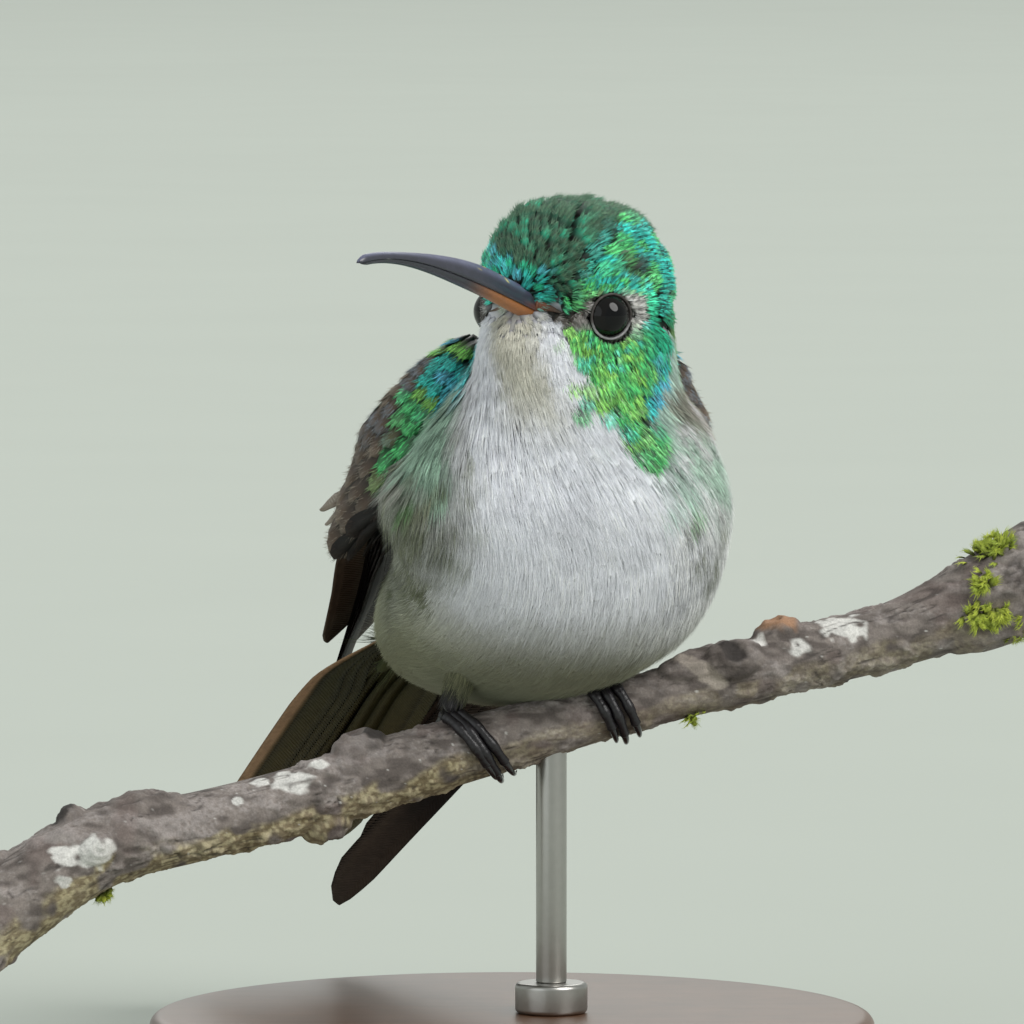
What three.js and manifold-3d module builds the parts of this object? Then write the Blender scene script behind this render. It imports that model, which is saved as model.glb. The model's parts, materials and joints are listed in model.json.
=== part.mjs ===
// A life-size emerald hummingbird with white underparts, perched on a cut length of twig that
// stands on a turned base with one rod.
//
// Units are millimetres, +Z is up, and the origin is the centre of the base's underside. The
// breast faces -Y, the tail runs back towards +Y, and the bird's own left is on the +X side.
// The flesh is one smooth loft along the spine. It gives the outline of the plumage, and thin
// cuts part it into head, neck, breast, belly and rump. Everything else fits round that loft.
import * as THREE from "three";
import { mergeVertices } from "three/addons/utils/BufferGeometryUtils.js";
import Module from "manifold-3d";

const wasm = await Module();
wasm.setup();

// ---------------------------------------------------------------------------------------------
// Driving sizes
// ---------------------------------------------------------------------------------------------
const GAP = 0.3; // clearance between neighbouring pieces
const UP = new THREE.Vector3(0, 0, 1);

// The spine from the tail's root to the crown. Each station holds its centre, the yaw of the
// side that faces forward (0 faces -Y, positive turns towards +X), and the half sizes of its
// section: to each side, to the front (ventral) and to the back (dorsal).
const BODY = [
  { at: [-8.2, 13.4, 29.4], yaw: 25, side: 0.0, front: 0.0, back: 0.0 },
  { at: [-6.7, 10.8, 30.6], yaw: 25, side: 3.9, front: 4.1, back: 2.6 },
  { at: [-3.0, 6.6, 32.6], yaw: 25, side: 7.2, front: 7.5, back: 5.4 },
  { at: [0.3, 2.9, 34.9], yaw: 22, side: 10.4, front: 9.5, back: 7.6 },
  { at: [2.45, 0.4, 38.0], yaw: 17, side: 12.65, front: 11.3, back: 9.3 },
  { at: [4.0, -1.2, 42.0], yaw: 10, side: 12.05, front: 10.9, back: 9.9 },
  { at: [4.15, -2.0, 46.2], yaw: -4, side: 10.15, front: 9.3, back: 8.8 },
  { at: [4.4, -2.5, 50.0], yaw: -20, side: 7.7, front: 8.2, back: 6.8 },
  { at: [4.5, -2.6, 53.4], yaw: -33, side: 7.2, front: 7.3, back: 6.5 },
  { at: [4.5, -2.5, 57.0], yaw: -38, side: 6.9, front: 6.7, back: 6.9 },
  { at: [4.55, -2.4, 60.2], yaw: -38, side: 5.35, front: 5.6, back: 5.5 },
  { at: [4.6, -2.3, 61.9], yaw: -38, side: 3.4, front: 3.75, back: 3.6 },
  { at: [4.65, -2.2, 62.5], yaw: -38, side: 0.0, front: 0.0, back: 0.0 },
];
const BODY_RINGS = 31;
const BODY_SIDES = 24;
const CUTS = [2.45, 4.35, 6.2, 7.35]; // stations where the thin cuts part the flesh

// Head
const HEAD_YAW = -37;
const HEAD = new THREE.Vector3(4.55, -2.5, 55.6); // centre of the skull
const FACE_REACH = 0.9; // how far the lores run out along the bill
const EYE_RADIUS = 1.75;
const EYE_PLACE = { forward: 2.9, aside: 4.7, up: -1.15 };
const EYE_DENT = 0.7; // how far the face sinks in round each eye

// Bill
const BILL_LENGTH = 20.2; // from the feathers to the tip
const BILL_GAP = 0.14; // between the two mandibles
const BILL_ROOT = { forward: 5.7, up: -0.95 };
const BILL_SUNK = 3.0; // length of the bill hidden in the face
const BILL_PITCH = { root: 20.5, ease: 8, tip: 23 }; // degrees; the bill droops towards its tip
const BILL_HALF_WIDTH = { root: 1.15, tip: 0.34 };
const UPPER_HEIGHT = { root: 1.35, tip: 0.42, full: 0.25 }; // full up to this share of the bill
const LOWER_HEIGHT = { root: 0.68, tip: 0.32, full: 0.35 };
const HEIGHT_TAPER = 0.6; // share of the bill over which the heights fall to those at the tip

// Perch: centreline and radius of the twig, from its low end to its high end
const TWIG = [
  { at: [-38.5, -10.8, 10.7], r: 3.3 },
  { at: [-30.0, -8.6, 16.4], r: 2.95 },
  { at: [-22.3, -6.5, 18.1], r: 2.5 },
  { at: [-15.1, -4.6, 19.8], r: 2.45 },
  { at: [-8.0, -2.7, 21.9], r: 2.5 },
  { at: [-0.9, -0.8, 23.7], r: 2.3 },
  { at: [9.1, 1.9, 26.2], r: 2.0 },
  { at: [20.6, 5.0, 29.05], r: 2.35 },
  { at: [28.5, 7.1, 30.95], r: 2.5 },
  { at: [38.5, 9.8, 35.2], r: 3.8 },
];
const TWIG_RINGS = 31;
const TWIG_SIDES = 12;

// Stand
const BASE_RADIUS = 26;
const BASE_HEIGHT = 4;
const ROD_RADIUS = 1.1;
const ROD_AT = 0.6; // place along the twig, from 0 to 1
const COLLAR = { radius: 2.6, height: 2.2 };

// ---------------------------------------------------------------------------------------------
// Helpers
// ---------------------------------------------------------------------------------------------
const radians = THREE.MathUtils.degToRad;
const lerp = THREE.MathUtils.lerp;
const clamp01 = (x) => Math.min(1, Math.max(0, x));
const smooth = (x) => clamp01(x) ** 2 * (3 - 2 * clamp01(x));
const vec = (x, y, z) => new THREE.Vector3(x, y, z);
// The level direction that a yaw faces.
const facing = (yaw) => vec(Math.sin(radians(yaw)), -Math.cos(radians(yaw)), 0);

// Uniform Catmull-Rom interpolation of rows of numbers at t, counted in rows.
function between(rows, t) {
  const last = rows.length - 1;
  const i = Math.min(Math.floor(t), last - 1);
  const f = t - i;
  const row = (k) => rows[Math.min(Math.max(k, 0), last)];
  const weights = [
    (-f + 2 * f * f - f ** 3) / 2,
    (2 - 5 * f * f + 3 * f ** 3) / 2,
    (f + 4 * f * f - 3 * f ** 3) / 2,
    (-f * f + f ** 3) / 2,
  ];
  return row(i).map((_, c) =>
    weights.reduce((sum, w, k) => sum + w * row(i - 1 + k)[c], 0),
  );
}

// A closed surface through rings of points. A ring may be a single point, which is a pole.
function loft(rings) {
  const points = [];
  const index = [];
  const starts = rings.map((ring) => {
    const start = points.length;
    points.push(...ring);
    return start;
  });
  const bridge = (a, na, b, nb) => {
    const n = Math.max(na, nb);
    for (let k = 0; k < n; k += 1) {
      const next = (k + 1) % n;
      if (na > 1) index.push(a + k, a + next, nb > 1 ? b + next : b);
      if (nb > 1) index.push(b + next, b + k, na > 1 ? a + k : a);
    }
  };
  for (let i = 1; i < rings.length; i += 1)
    bridge(starts[i - 1], rings[i - 1].length, starts[i], rings[i].length);
  const middle = (ring) =>
    ring.reduce((sum, p) => sum.add(p), vec(0, 0, 0)).divideScalar(ring.length);
  const first = rings[0];
  const last = rings.at(-1);
  if (first.length > 1) {
    points.push(middle(first));
    bridge(points.length - 1, 1, starts[0], first.length);
  }
  if (last.length > 1) {
    points.push(middle(last));
    bridge(starts.at(-1), last.length, points.length - 1, 1);
  }
  const geometry = new THREE.BufferGeometry().setFromPoints(points);
  geometry.setIndex(index);
  return geometry;
}

// A closed geometry as a manifold-3d solid that faces outwards.
function solid(geometry) {
  const bare = geometry.clone();
  bare.deleteAttribute("normal");
  bare.deleteAttribute("uv");
  const merged = mergeVertices(bare, 1e-4);
  const vertProperties = new Float32Array(merged.attributes.position.array);
  const triVerts = new Uint32Array(merged.index.array);
  let made = new wasm.Manifold(new wasm.Mesh({ numProp: 3, vertProperties, triVerts }));
  if (made.volume() < 0) {
    for (let i = 0; i < triVerts.length; i += 3)
      [triVerts[i + 1], triVerts[i + 2]] = [triVerts[i + 2], triVerts[i + 1]];
    made = new wasm.Manifold(new wasm.Mesh({ numProp: 3, vertProperties, triVerts }));
  }
  return made;
}

// The largest body of a solid, without the crumbs that a cut may leave.
function mainBody(cut) {
  return cut.decompose().reduce((a, b) => (a.volume() > b.volume() ? a : b));
}

const bird = new THREE.Group();

// Adds a solid to the model as one named mesh.
function node(name, shape, material) {
  const { vertProperties, triVerts, numProp } = mainBody(shape).getMesh();
  const geometry = new THREE.BufferGeometry();
  geometry.setAttribute("position", new THREE.BufferAttribute(vertProperties, numProp));
  geometry.setIndex(new THREE.BufferAttribute(triVerts, 1));
  geometry.computeVertexNormals();
  const mesh = new THREE.Mesh(geometry, material);
  mesh.name = name;
  bird.add(mesh);
}

const finish = (color, roughness, metalness = 0) =>
  new THREE.MeshStandardMaterial({ color, roughness, metalness });
const MATERIALS = {
  crown: finish("#2f7a63", 0.45, 0.4),
  white: finish("#d8d8de", 0.85),
  flank: finish("#a3a596", 0.85),
  back: finish("#3c8a4c", 0.45, 0.4),
  quill: finish("#2b2523", 0.6),
  tail: finish("#5b4a33", 0.55, 0.2),
  bill: finish("#3b3a44", 0.35),
  billBelow: finish("#a3642a", 0.4),
  eye: finish("#0a0a0d", 0.05),
  foot: finish("#1d1a20", 0.5),
  claw: finish("#141216", 0.35),
  bark: finish("#7f7873", 0.9),
  wood: finish("#4a3020", 0.45),
  steel: finish("#8d8a84", 0.35, 0.9),
};

// ---------------------------------------------------------------------------------------------
// Flesh: one loft along the spine
// ---------------------------------------------------------------------------------------------
const headForward = facing(HEAD_YAW);
const headLeft = vec(0, 0, 0).crossVectors(UP, headForward);
const onHead = ({ forward, aside = 0, up }) =>
  HEAD.clone()
    .addScaledVector(headForward, forward)
    .addScaledVector(headLeft, aside)
    .addScaledVector(UP, up);
const billRoot = onHead(BILL_ROOT);

const bodyRows = BODY.map((b) => [...b.at, b.yaw, b.side, b.front, b.back]);

// The point on the plumage at station t and angle phi, where 0 is the front and 90 degrees the
// bird's left. The face is drawn out into a cone round the bill's root.
function bodyPoint(t, phi, grow = 0) {
  const [x, y, z, yaw, side, front, back] = between(bodyRows, t);
  const step = 0.9; // stations each way, so that neighbouring sections turn slowly and never cross
  const last = bodyRows.length - 1;
  const ahead = between(bodyRows, Math.min(t + step, last));
  const behind = between(bodyRows, Math.max(t - step, 0));
  const along = vec(...ahead.slice(0, 3)).sub(vec(...behind.slice(0, 3))).normalize();
  const forward = facing(yaw);
  forward.addScaledVector(along, -forward.dot(along)).normalize();
  const left = vec(0, 0, 0).crossVectors(along, forward);
  const deep = Math.cos(phi) > 0 ? front : back;
  const point = vec(x, y, z)
    .addScaledVector(forward, Math.cos(phi) * (Math.max(deep, 0) + grow))
    .addScaledVector(left, Math.sin(phi) * (Math.max(side, 0) + grow));
  const toRoot = billRoot.clone().sub(HEAD).normalize();
  const outward = point.clone().sub(HEAD).normalize();
  point.addScaledVector(toRoot, FACE_REACH * Math.max(0, outward.dot(toRoot)) ** 12);
  for (const sign of [1, -1]) {
    const toEye = onHead({ ...EYE_PLACE, aside: sign * EYE_PLACE.aside }).sub(HEAD).normalize();
    point.addScaledVector(toEye, -EYE_DENT * Math.max(0, outward.dot(toEye)) ** 14);
  }
  return point;
}

function bodyLoft(grow = 0) {
  const rings = [];
  const last = BODY.length - 1;
  for (let i = 0; i <= BODY_RINGS; i += 1) {
    const t = (last * i) / BODY_RINGS;
    const ring = [];
    if (i === 0 || i === BODY_RINGS) {
      const pole = bodyPoint(t, 0);
      const inside = bodyPoint(last / 2, 0, -BODY[6].front);
      const outward = pole.clone().sub(inside).normalize();
      rings.push([pole.addScaledVector(outward, grow)]);
      continue;
    }
    for (let k = 0; k < BODY_SIDES; k += 1)
      ring.push(bodyPoint(t, (2 * Math.PI * k) / BODY_SIDES, grow));
    rings.push(ring);
  }
  return solid(loft(rings));
}

// A thin square plate across the spine at station t.
function cutAcross(t) {
  const size = 60;
  const [x, y, z] = between(bodyRows, t);
  const [ax, ay, az] = between(bodyRows, t + 0.1);
  const along = vec(ax - x, ay - y, az - z).normalize();
  const plate = new THREE.BoxGeometry(size, size, GAP);
  plate.applyQuaternion(new THREE.Quaternion().setFromUnitVectors(UP, along));
  plate.translate(x, y, z);
  return solid(plate);
}

const flesh = bodyLoft();
const fleshWithGap = bodyLoft(GAP).add(flesh);

// ---------------------------------------------------------------------------------------------
// Eyes
// ---------------------------------------------------------------------------------------------
function eyeBall(sign, grow = 0) {
  const at = onHead({ ...EYE_PLACE, aside: sign * EYE_PLACE.aside });
  const ball = new THREE.SphereGeometry(EYE_RADIUS + grow, 12, 8);
  return solid(ball.translate(at.x, at.y, at.z));
}

// ---------------------------------------------------------------------------------------------
// Bill: a centreline that starts inside the face and droops towards the tip
// ---------------------------------------------------------------------------------------------
const billPitch = (s) => {
  const u = clamp01(s / BILL_LENGTH);
  return radians(BILL_PITCH.root - BILL_PITCH.ease * u - BILL_PITCH.tip * u ** 4);
};

const billLine = (() => {
  const stepsPerMm = 4;
  const start = billRoot
    .clone()
    .addScaledVector(headForward, -BILL_SUNK * Math.cos(billPitch(0)))
    .addScaledVector(UP, -BILL_SUNK * Math.sin(billPitch(0)));
  const points = [start];
  for (let i = 0; i < (BILL_SUNK + BILL_LENGTH) * stepsPerMm; i += 1) {
    const pitch = billPitch((i + 0.5) / stepsPerMm - BILL_SUNK);
    points.push(
      points
        .at(-1)
        .clone()
        .addScaledVector(headForward, Math.cos(pitch) / stepsPerMm)
        .addScaledVector(UP, Math.sin(pitch) / stepsPerMm),
    );
  }
  return new THREE.CatmullRomCurve3(points);
})();

// One mandible: half of a flattened oval above or below the line where the two meet.
function mandible(upper, grow = 0) {
  const rings = [];
  const ringCount = 14;
  const sides = 8;
  const sizes = upper ? UPPER_HEIGHT : LOWER_HEIGHT;
  const length = upper ? 1 : 0.985;
  for (let i = 0; i <= ringCount; i += 1) {
    const u = (length * i) / ringCount;
    const s = u * (BILL_SUNK + BILL_LENGTH) - BILL_SUNK;
    const at = billLine.getPointAt(u);
    const pitch = billPitch(s);
    const upward = UP.clone()
      .multiplyScalar(Math.cos(pitch))
      .addScaledVector(headForward, -Math.sin(pitch));
    const share = clamp01(s / BILL_LENGTH);
    const taper = 0.45 * share + 0.55 * share ** 0.4;
    const end = Math.sqrt(clamp01((1.02 * length - u) * 14));
    const wide = lerp(BILL_HALF_WIDTH.root, BILL_HALF_WIDTH.tip, taper) * end + grow;
    const thinning = THREE.MathUtils.smoothstep(share, sizes.full, sizes.full + HEIGHT_TAPER);
    const high = lerp(sizes.root, sizes.tip, thinning) * end + grow;
    const ring = [];
    for (let k = 0; k < sides; k += 1) {
      const a = (2 * Math.PI * (k + 0.5)) / sides;
      const rise = (Math.sin(a) + 1) / 2;
      const level = (upper ? 1 : -1) * (BILL_GAP / 2 - grow + (high + grow) * rise);
      const across = (upper ? 1 : -1) * Math.cos(a) * wide * (1 - 0.35 * rise);
      ring.push(
        at
          .clone()
          .addScaledVector(headLeft, across)
          .addScaledVector(upward, level),
      );
    }
    rings.push(ring);
  }
  return solid(loft(rings));
}

const billWithGap = mandible(true, GAP).add(mandible(false, GAP));

// ---------------------------------------------------------------------------------------------
// Wings: a folded wing is a curved plate along a line from the shoulder to the tip
// ---------------------------------------------------------------------------------------------
// Each station holds its centre, its half breadth, its half thickness and the roll of its
// breadth about the line, in degrees from upright.
const WINGS = {
  right: [
    { at: [-1.5, 1.4, 51.9], breadth: 2.0, thick: 1.4, roll: 36 },
    { at: [-5.0, 1.4, 47.9], breadth: 3.6, thick: 2.2, roll: 34 },
    { at: [-9.1, 2.8, 42.6], breadth: 4.4, thick: 2.3, roll: 30 },
    { at: [-10.4, 6.6, 39.6], breadth: 5.2, thick: 1.8, roll: 28 },
    { at: [-11.2, 12.6, 35.0], breadth: 4.9, thick: 1.2, roll: 30 },
    { at: [-12.5, 20.0, 29.6], breadth: 4.1, thick: 0.8, roll: 32 },
    { at: [-14.2, 27.6, 24.2], breadth: 2.8, thick: 0.6, roll: 32 },
    { at: [-16.6, 35.0, 19.2], breadth: 0.8, thick: 0.4, roll: 32 },
  ],
  left: [
    { at: [9.2, 4.8, 51.0], breadth: 1.8, thick: 1.4, roll: -40 },
    { at: [11.2, 5.8, 47.6], breadth: 3.8, thick: 2.2, roll: -38 },
    { at: [11.6, 8.6, 43.2], breadth: 5.0, thick: 2.0, roll: -30 },
    { at: [10.4, 12.8, 38.4], breadth: 5.0, thick: 1.7, roll: -30 },
    { at: [6.8, 18.2, 32.8], breadth: 4.6, thick: 1.2, roll: -34 },
    { at: [-0.6, 23.8, 25.4], breadth: 3.8, thick: 0.8, roll: -34 },
    { at: [-7.4, 29.0, 16.8], breadth: 2.7, thick: 0.6, roll: -30 },
    { at: [-13.4, 33.2, 8.4], breadth: 0.8, thick: 0.4, roll: -26 },
  ],
};
const WING_CUTS = [2.6, 4.4]; // arm and coverts, then secondaries, then primaries

function wingFrame(rows, t) {
  const at = between(rows, t);
  const ahead = between(rows, Math.min(t + 0.05, rows.length - 1));
  const behind = between(rows, Math.max(t - 0.05, 0));
  const along = vec(...ahead.slice(0, 3)).sub(vec(...behind.slice(0, 3))).normalize();
  const broad = UP.clone().addScaledVector(along, -UP.dot(along)).normalize();
  broad.applyAxisAngle(along, radians(at[5]));
  const out = vec(0, 0, 0).crossVectors(along, broad);
  return { centre: vec(at[0], at[1], at[2]), along, broad, out, breadth: at[3], thick: at[4] };
}

function wingLoft(side) {
  const rows = WINGS[side].map((w) => [...w.at, w.breadth, w.thick, w.roll]);
  const ringCount = 15;
  const sides = 12;
  const rings = [];
  for (let i = 0; i <= ringCount; i += 1) {
    const station = ((rows.length - 1) * i) / ringCount;
    const { centre, broad, out, breadth, thick } = wingFrame(rows, station);
    const ring = [];
    for (let k = 0; k < sides; k += 1) {
      const a = (2 * Math.PI * k) / sides;
      ring.push(
        centre
          .clone()
          .addScaledVector(broad, Math.cos(a) * breadth)
          .addScaledVector(out, Math.sin(a) * Math.max(thick, 0.3)),
      );
    }
    rings.push(ring);
  }
  return solid(loft(rings));
}

function cutWing(side, t) {
  const rows = WINGS[side].map((w) => [...w.at, w.breadth, w.thick, w.roll]);
  const { centre, along } = wingFrame(rows, t);
  const plate = new THREE.BoxGeometry(30, 30, GAP);
  plate.applyQuaternion(new THREE.Quaternion().setFromUnitVectors(UP, along));
  plate.translate(centre.x, centre.y, centre.z);
  return solid(plate);
}

// ---------------------------------------------------------------------------------------------
// Tail: a shallow fan of feathers, parted into its middle and its two sides
// ---------------------------------------------------------------------------------------------
const TAIL = {
  root: vec(-7.6, 9.8, 30.9),
  yaw: 25,
  drop: 34,
  roll: 0,
  length: 30,
  halfWidth: { root: 4.6, tip: 6.0 },
  thick: 0.8,
  arch: 0.9,
  notch: 1.6,
};

const tailFrame = (() => {
  const back = facing(TAIL.yaw).negate();
  const along = back
    .clone()
    .multiplyScalar(Math.cos(radians(TAIL.drop)))
    .addScaledVector(UP, -Math.sin(radians(TAIL.drop)));
  const left = vec(0, 0, 0).crossVectors(back, UP).applyAxisAngle(along, radians(TAIL.roll));
  const above = vec(0, 0, 0).crossVectors(left, along);
  return { along, left, above };
})();

// The tail between two shares of its width, from -1 at the bird's right to 1 at its left.
function tailPlate(from, to, grow = 0) {
  const rings = [];
  const ringCount = 8;
  const steps = 4;
  const { along, left, above } = tailFrame;
  for (let i = 0; i <= ringCount; i += 1) {
    const u = i / ringCount;
    const wide = lerp(TAIL.halfWidth.root, TAIL.halfWidth.tip, u ** 0.8);
    const round = i === ringCount ? 0.75 : 1;
    const topSide = [];
    const underSide = [];
    for (let k = 0; k <= steps; k += 1) {
      const w = lerp(from, to, k / steps);
      const reach = TAIL.length * u - TAIL.notch * u ** 6 * (1 - Math.abs(w)) * 0.8;
      const at = TAIL.root
        .clone()
        .addScaledVector(along, reach)
        .addScaledVector(left, w * wide)
        .addScaledVector(above, -TAIL.arch * w * w);
      const half = (TAIL.thick / 2) * round + grow;
      topSide.push(at.clone().addScaledVector(above, half));
      underSide.unshift(at.clone().addScaledVector(above, -half));
    }
    rings.push([...topSide, ...underSide]);
  }
  return solid(loft(rings));
}

// ---------------------------------------------------------------------------------------------
// Perch
// ---------------------------------------------------------------------------------------------
const twigRows = TWIG.map((b) => [...b.at, b.r]);

function twigFrame(share) {
  const last = TWIG.length - 1;
  const t = share * last;
  const at = between(twigRows, t);
  const ahead = between(twigRows, Math.min(t + 0.05, last));
  const behind = between(twigRows, Math.max(t - 0.05, 0));
  const along = vec(...ahead.slice(0, 3)).sub(vec(...behind.slice(0, 3))).normalize();
  const top = UP.clone().addScaledVector(along, -UP.dot(along)).normalize();
  const front = vec(0, 0, 0).crossVectors(top, along).negate();
  return { centre: vec(at[0], at[1], at[2]), r: at[3], along, top, front };
}

// The place on the twig whose centre has this x.
function twigShareAt(x) {
  let low = 0;
  let high = 1;
  while (high - low > 1e-5) {
    const middle = (low + high) / 2;
    if (twigFrame(middle).centre.x < x) low = middle;
    else high = middle;
  }
  return low;
}

// A point round the twig: angle 0 faces forward, 90 degrees is its top.
function roundTwig(share, angle, distance) {
  const { centre, top, front } = twigFrame(share);
  return centre
    .clone()
    .addScaledVector(front, Math.cos(radians(angle)) * distance)
    .addScaledVector(top, Math.sin(radians(angle)) * distance);
}

function twigLoft(grow = 0) {
  const rings = [];
  for (let i = 0; i <= TWIG_RINGS; i += 1) {
    const share = i / TWIG_RINGS;
    const { r } = twigFrame(share);
    const ring = [];
    for (let k = 0; k < TWIG_SIDES; k += 1)
      ring.push(roundTwig(share, (360 * k) / TWIG_SIDES, r + grow));
    rings.push(ring);
  }
  return solid(loft(rings));
}

// Knots, buds and a broken side shoot: ovals half sunk in the bark. Each has its place along
// the twig by x, its angle round it, its reach outwards and its length along the twig.
const KNOTS = [
  { x: -35.5, angle: 95, reach: 1.2, long: 1.6 },
  { x: -25.5, angle: 85, reach: 0.5, long: 3.0 },
  { x: -29.6, angle: 10, reach: 0.8, long: 1.4 },
  { x: -13.9, angle: -80, reach: 1.2, long: 2.2 },
  { x: -10.3, angle: 86, reach: 1.3, long: 2.4 },
  { x: 13.2, angle: 62, reach: 0.9, long: 2.0 },
  { x: 15.9, angle: 40, reach: 1.3, long: 1.6 },
  { x: 19.6, angle: 86, reach: 1.1, long: 1.5 },
  { x: 33.5, angle: -60, reach: 0.9, long: 2.4 },
];

function knot({ x, angle, reach, long }) {
  const share = twigShareAt(x);
  const { along, r } = twigFrame(share);
  const middle = roundTwig(share, angle, r * 0.72);
  const outward = roundTwig(share, angle, 1).sub(roundTwig(share, angle, 0));
  const turn = new THREE.Matrix4().makeBasis(
    along,
    vec(0, 0, 0).crossVectors(outward, along),
    outward,
  );
  const oval = new THREE.SphereGeometry(1, 8, 5);
  oval.scale(long, (long + reach) / 2, r * 0.28 + reach);
  return solid(oval.applyMatrix4(turn).translate(middle.x, middle.y, middle.z));
}

// ---------------------------------------------------------------------------------------------
// Legs: each foot grips the twig with three toes in front and one behind
// ---------------------------------------------------------------------------------------------
const FEET = {
  right: { x: -3.9, lean: 2.4, ankle: [-3.5, -0.6, 28.6] },
  left: { x: 6.3, lean: 0.8, ankle: [6.2, 2.0, 30.6] },
};
const TOE_RADIUS = { root: 0.4, tip: 0.35 };
const TOES = [
  { name: "inner", spread: -1, from: 74, to: -26 },
  { name: "middle", spread: 0, from: 74, to: -46 },
  { name: "outer", spread: 1, from: 74, to: -30 },
  { name: "hind", spread: 0, from: 112, to: 205 },
];
const TOE_PITCH = 1.2; // spacing of the front toes along the twig
const TOE_ROOM = 1.5; // from the bark to the belly, where the toes pass
const CLAW_SWEEP = 48; // degrees of the twig that a claw covers
const CLAW_RADIUS = 0.27;

// A tapered rod through points, with a rounded end.
function taperedRod(pointAt, radiusAt, ringCount, sides) {
  const rings = [];
  for (let i = 0; i <= ringCount; i += 1) {
    const u = i / ringCount;
    const at = pointAt(u);
    const along = pointAt(Math.min(1, u + 0.02)).sub(pointAt(Math.max(0, u - 0.02))).normalize();
    const side = vec(0, 0, 0).crossVectors(along, vec(0.3, 0.2, 1)).normalize();
    const other = vec(0, 0, 0).crossVectors(along, side);
    const ring = [];
    for (let k = 0; k < sides; k += 1) {
      const a = (2 * Math.PI * k) / sides;
      ring.push(
        at
          .clone()
          .addScaledVector(side, Math.cos(a) * radiusAt(u))
          .addScaledVector(other, Math.sin(a) * radiusAt(u)),
      );
    }
    rings.push(ring);
  }
  return solid(loft(rings));
}

const twigLength = twigFrame(0).centre.distanceTo(twigFrame(1).centre);

// Where a toe's or claw's centre runs: round the bark, drifting along the twig with the lean.
function toePoint(foot, toe, angle, distance) {
  const span = toe.to - toe.from;
  const run = (angle - toe.from) / span;
  const fan = toe.spread * TOE_PITCH * lerp(0.9, 1, smooth(run * 2));
  const drift = fan + foot.lean * run * (toe.name === "hind" ? -0.4 : 1);
  const share = twigShareAt(foot.x) + drift / twigLength;
  const { r } = twigFrame(share);
  return roundTwig(share, angle, r + distance);
}

function toeSolid(foot, toe) {
  const radius = (u) => {
    const knuckle = 1 + 0.09 * Math.cos(u * 3 * 2 * Math.PI);
    return lerp(TOE_RADIUS.root, TOE_RADIUS.tip, u) * knuckle * (u < 0.02 || u > 0.98 ? 0.7 : 1);
  };
  const line = (u) =>
    toePoint(foot, toe, lerp(toe.from, toe.to, u), TOE_RADIUS.root * 1.09 + GAP);
  return taperedRod(line, radius, 9, 6);
}

function clawSolid(foot, toe) {
  const turn = Math.sign(toe.to - toe.from);
  const skip = 14; // degrees from the toe's last ring, past the gap
  const line = (u) => {
    const angle = toe.to + turn * (skip + CLAW_SWEEP * u);
    const lift = 0.9 - 0.5 * u + 0.35 * Math.sin(Math.PI * u);
    return toePoint(foot, toe, angle, CLAW_RADIUS * lift + GAP * 0.8);
  };
  const radius = (u) => CLAW_RADIUS * lerp(1, 0.3, u);
  return taperedRod(line, radius, 4, 5);
}

// The bare lower leg, from inside the belly's plumage to a pad on top of the twig.
function legSolid(foot, grow = 0) {
  const share = twigShareAt(foot.x);
  const { r } = twigFrame(share);
  const pad = roundTwig(share, 93, r + 1.05);
  const ankle = vec(...foot.ankle);
  const line = (u) => ankle.clone().lerp(pad, u);
  const radius = (u) =>
    0.55 + 0.38 * smooth((u - 0.55) / 0.45) - 0.3 * smooth((u - 0.93) / 0.07) + grow;
  return taperedRod(line, radius, 7, 7);
}

const grip = {};
for (const side of ["right", "left"]) {
  grip[side] = TOES.map((toe) => ({
    name: toe.name,
    toe: toeSolid(FEET[side], toe),
    claw: clawSolid(FEET[side], toe),
  }));
}

// ---------------------------------------------------------------------------------------------
// Assembly
// ---------------------------------------------------------------------------------------------
let parted = flesh.subtract(eyeBall(1, GAP)).subtract(eyeBall(-1, GAP)).subtract(billWithGap);
parted = parted.subtract(twigLoft(TOE_ROOM));
for (const side of ["right", "left"]) parted = parted.subtract(legSolid(FEET[side], GAP));
for (const share of CUTS) parted = parted.subtract(cutAcross(share));
// The cut pieces in order up the spine.
const middleHeight = (p) => (p.boundingBox().min[2] + p.boundingBox().max[2]) / 2;
const pieces = parted
  .decompose()
  .filter((p) => p.volume() > 5)
  .sort((a, b) => middleHeight(a) - middleHeight(b));
const FLESH_NAMES = ["rump", "belly", "breast", "neck", "head"];
const FLESH_FINISH = ["flank", "flank", "white", "white", "crown"];
FLESH_NAMES.forEach((name, i) => node(name, pieces[i], MATERIALS[FLESH_FINISH[i]]));

node("eye_left", eyeBall(1), MATERIALS.eye);
node("eye_right", eyeBall(-1), MATERIALS.eye);
node("bill_upper", mandible(true), MATERIALS.bill);
node("bill_lower", mandible(false), MATERIALS.billBelow);

// Tail, under the tail coverts of the rump
const TAIL_PARTS = { tail_right: [-1, -0.36], tail_centre: [-0.3, 0.3], tail_left: [0.36, 1] };
for (const [name, [from, to]] of Object.entries(TAIL_PARTS))
  node(name, tailPlate(from, to).subtract(fleshWithGap), MATERIALS.tail);

// Wings, cut to lie against the body
for (const side of ["right", "left"]) {
  let wing = wingLoft(side).subtract(fleshWithGap).subtract(tailPlate(-1.1, 1.1, GAP));
  for (const share of WING_CUTS) wing = wing.subtract(cutWing(side, share));
  const parts = wing
    .decompose()
    .filter((p) => p.volume() > 3)
    .sort((a, b) => b.boundingBox().max[2] - a.boundingBox().max[2]);
  node(`wing_${side}_coverts`, parts[0], MATERIALS.back);
  node(`wing_${side}_secondaries`, parts[1], MATERIALS.quill);
  node(`wing_${side}_primaries`, parts[2], MATERIALS.quill);
}

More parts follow.
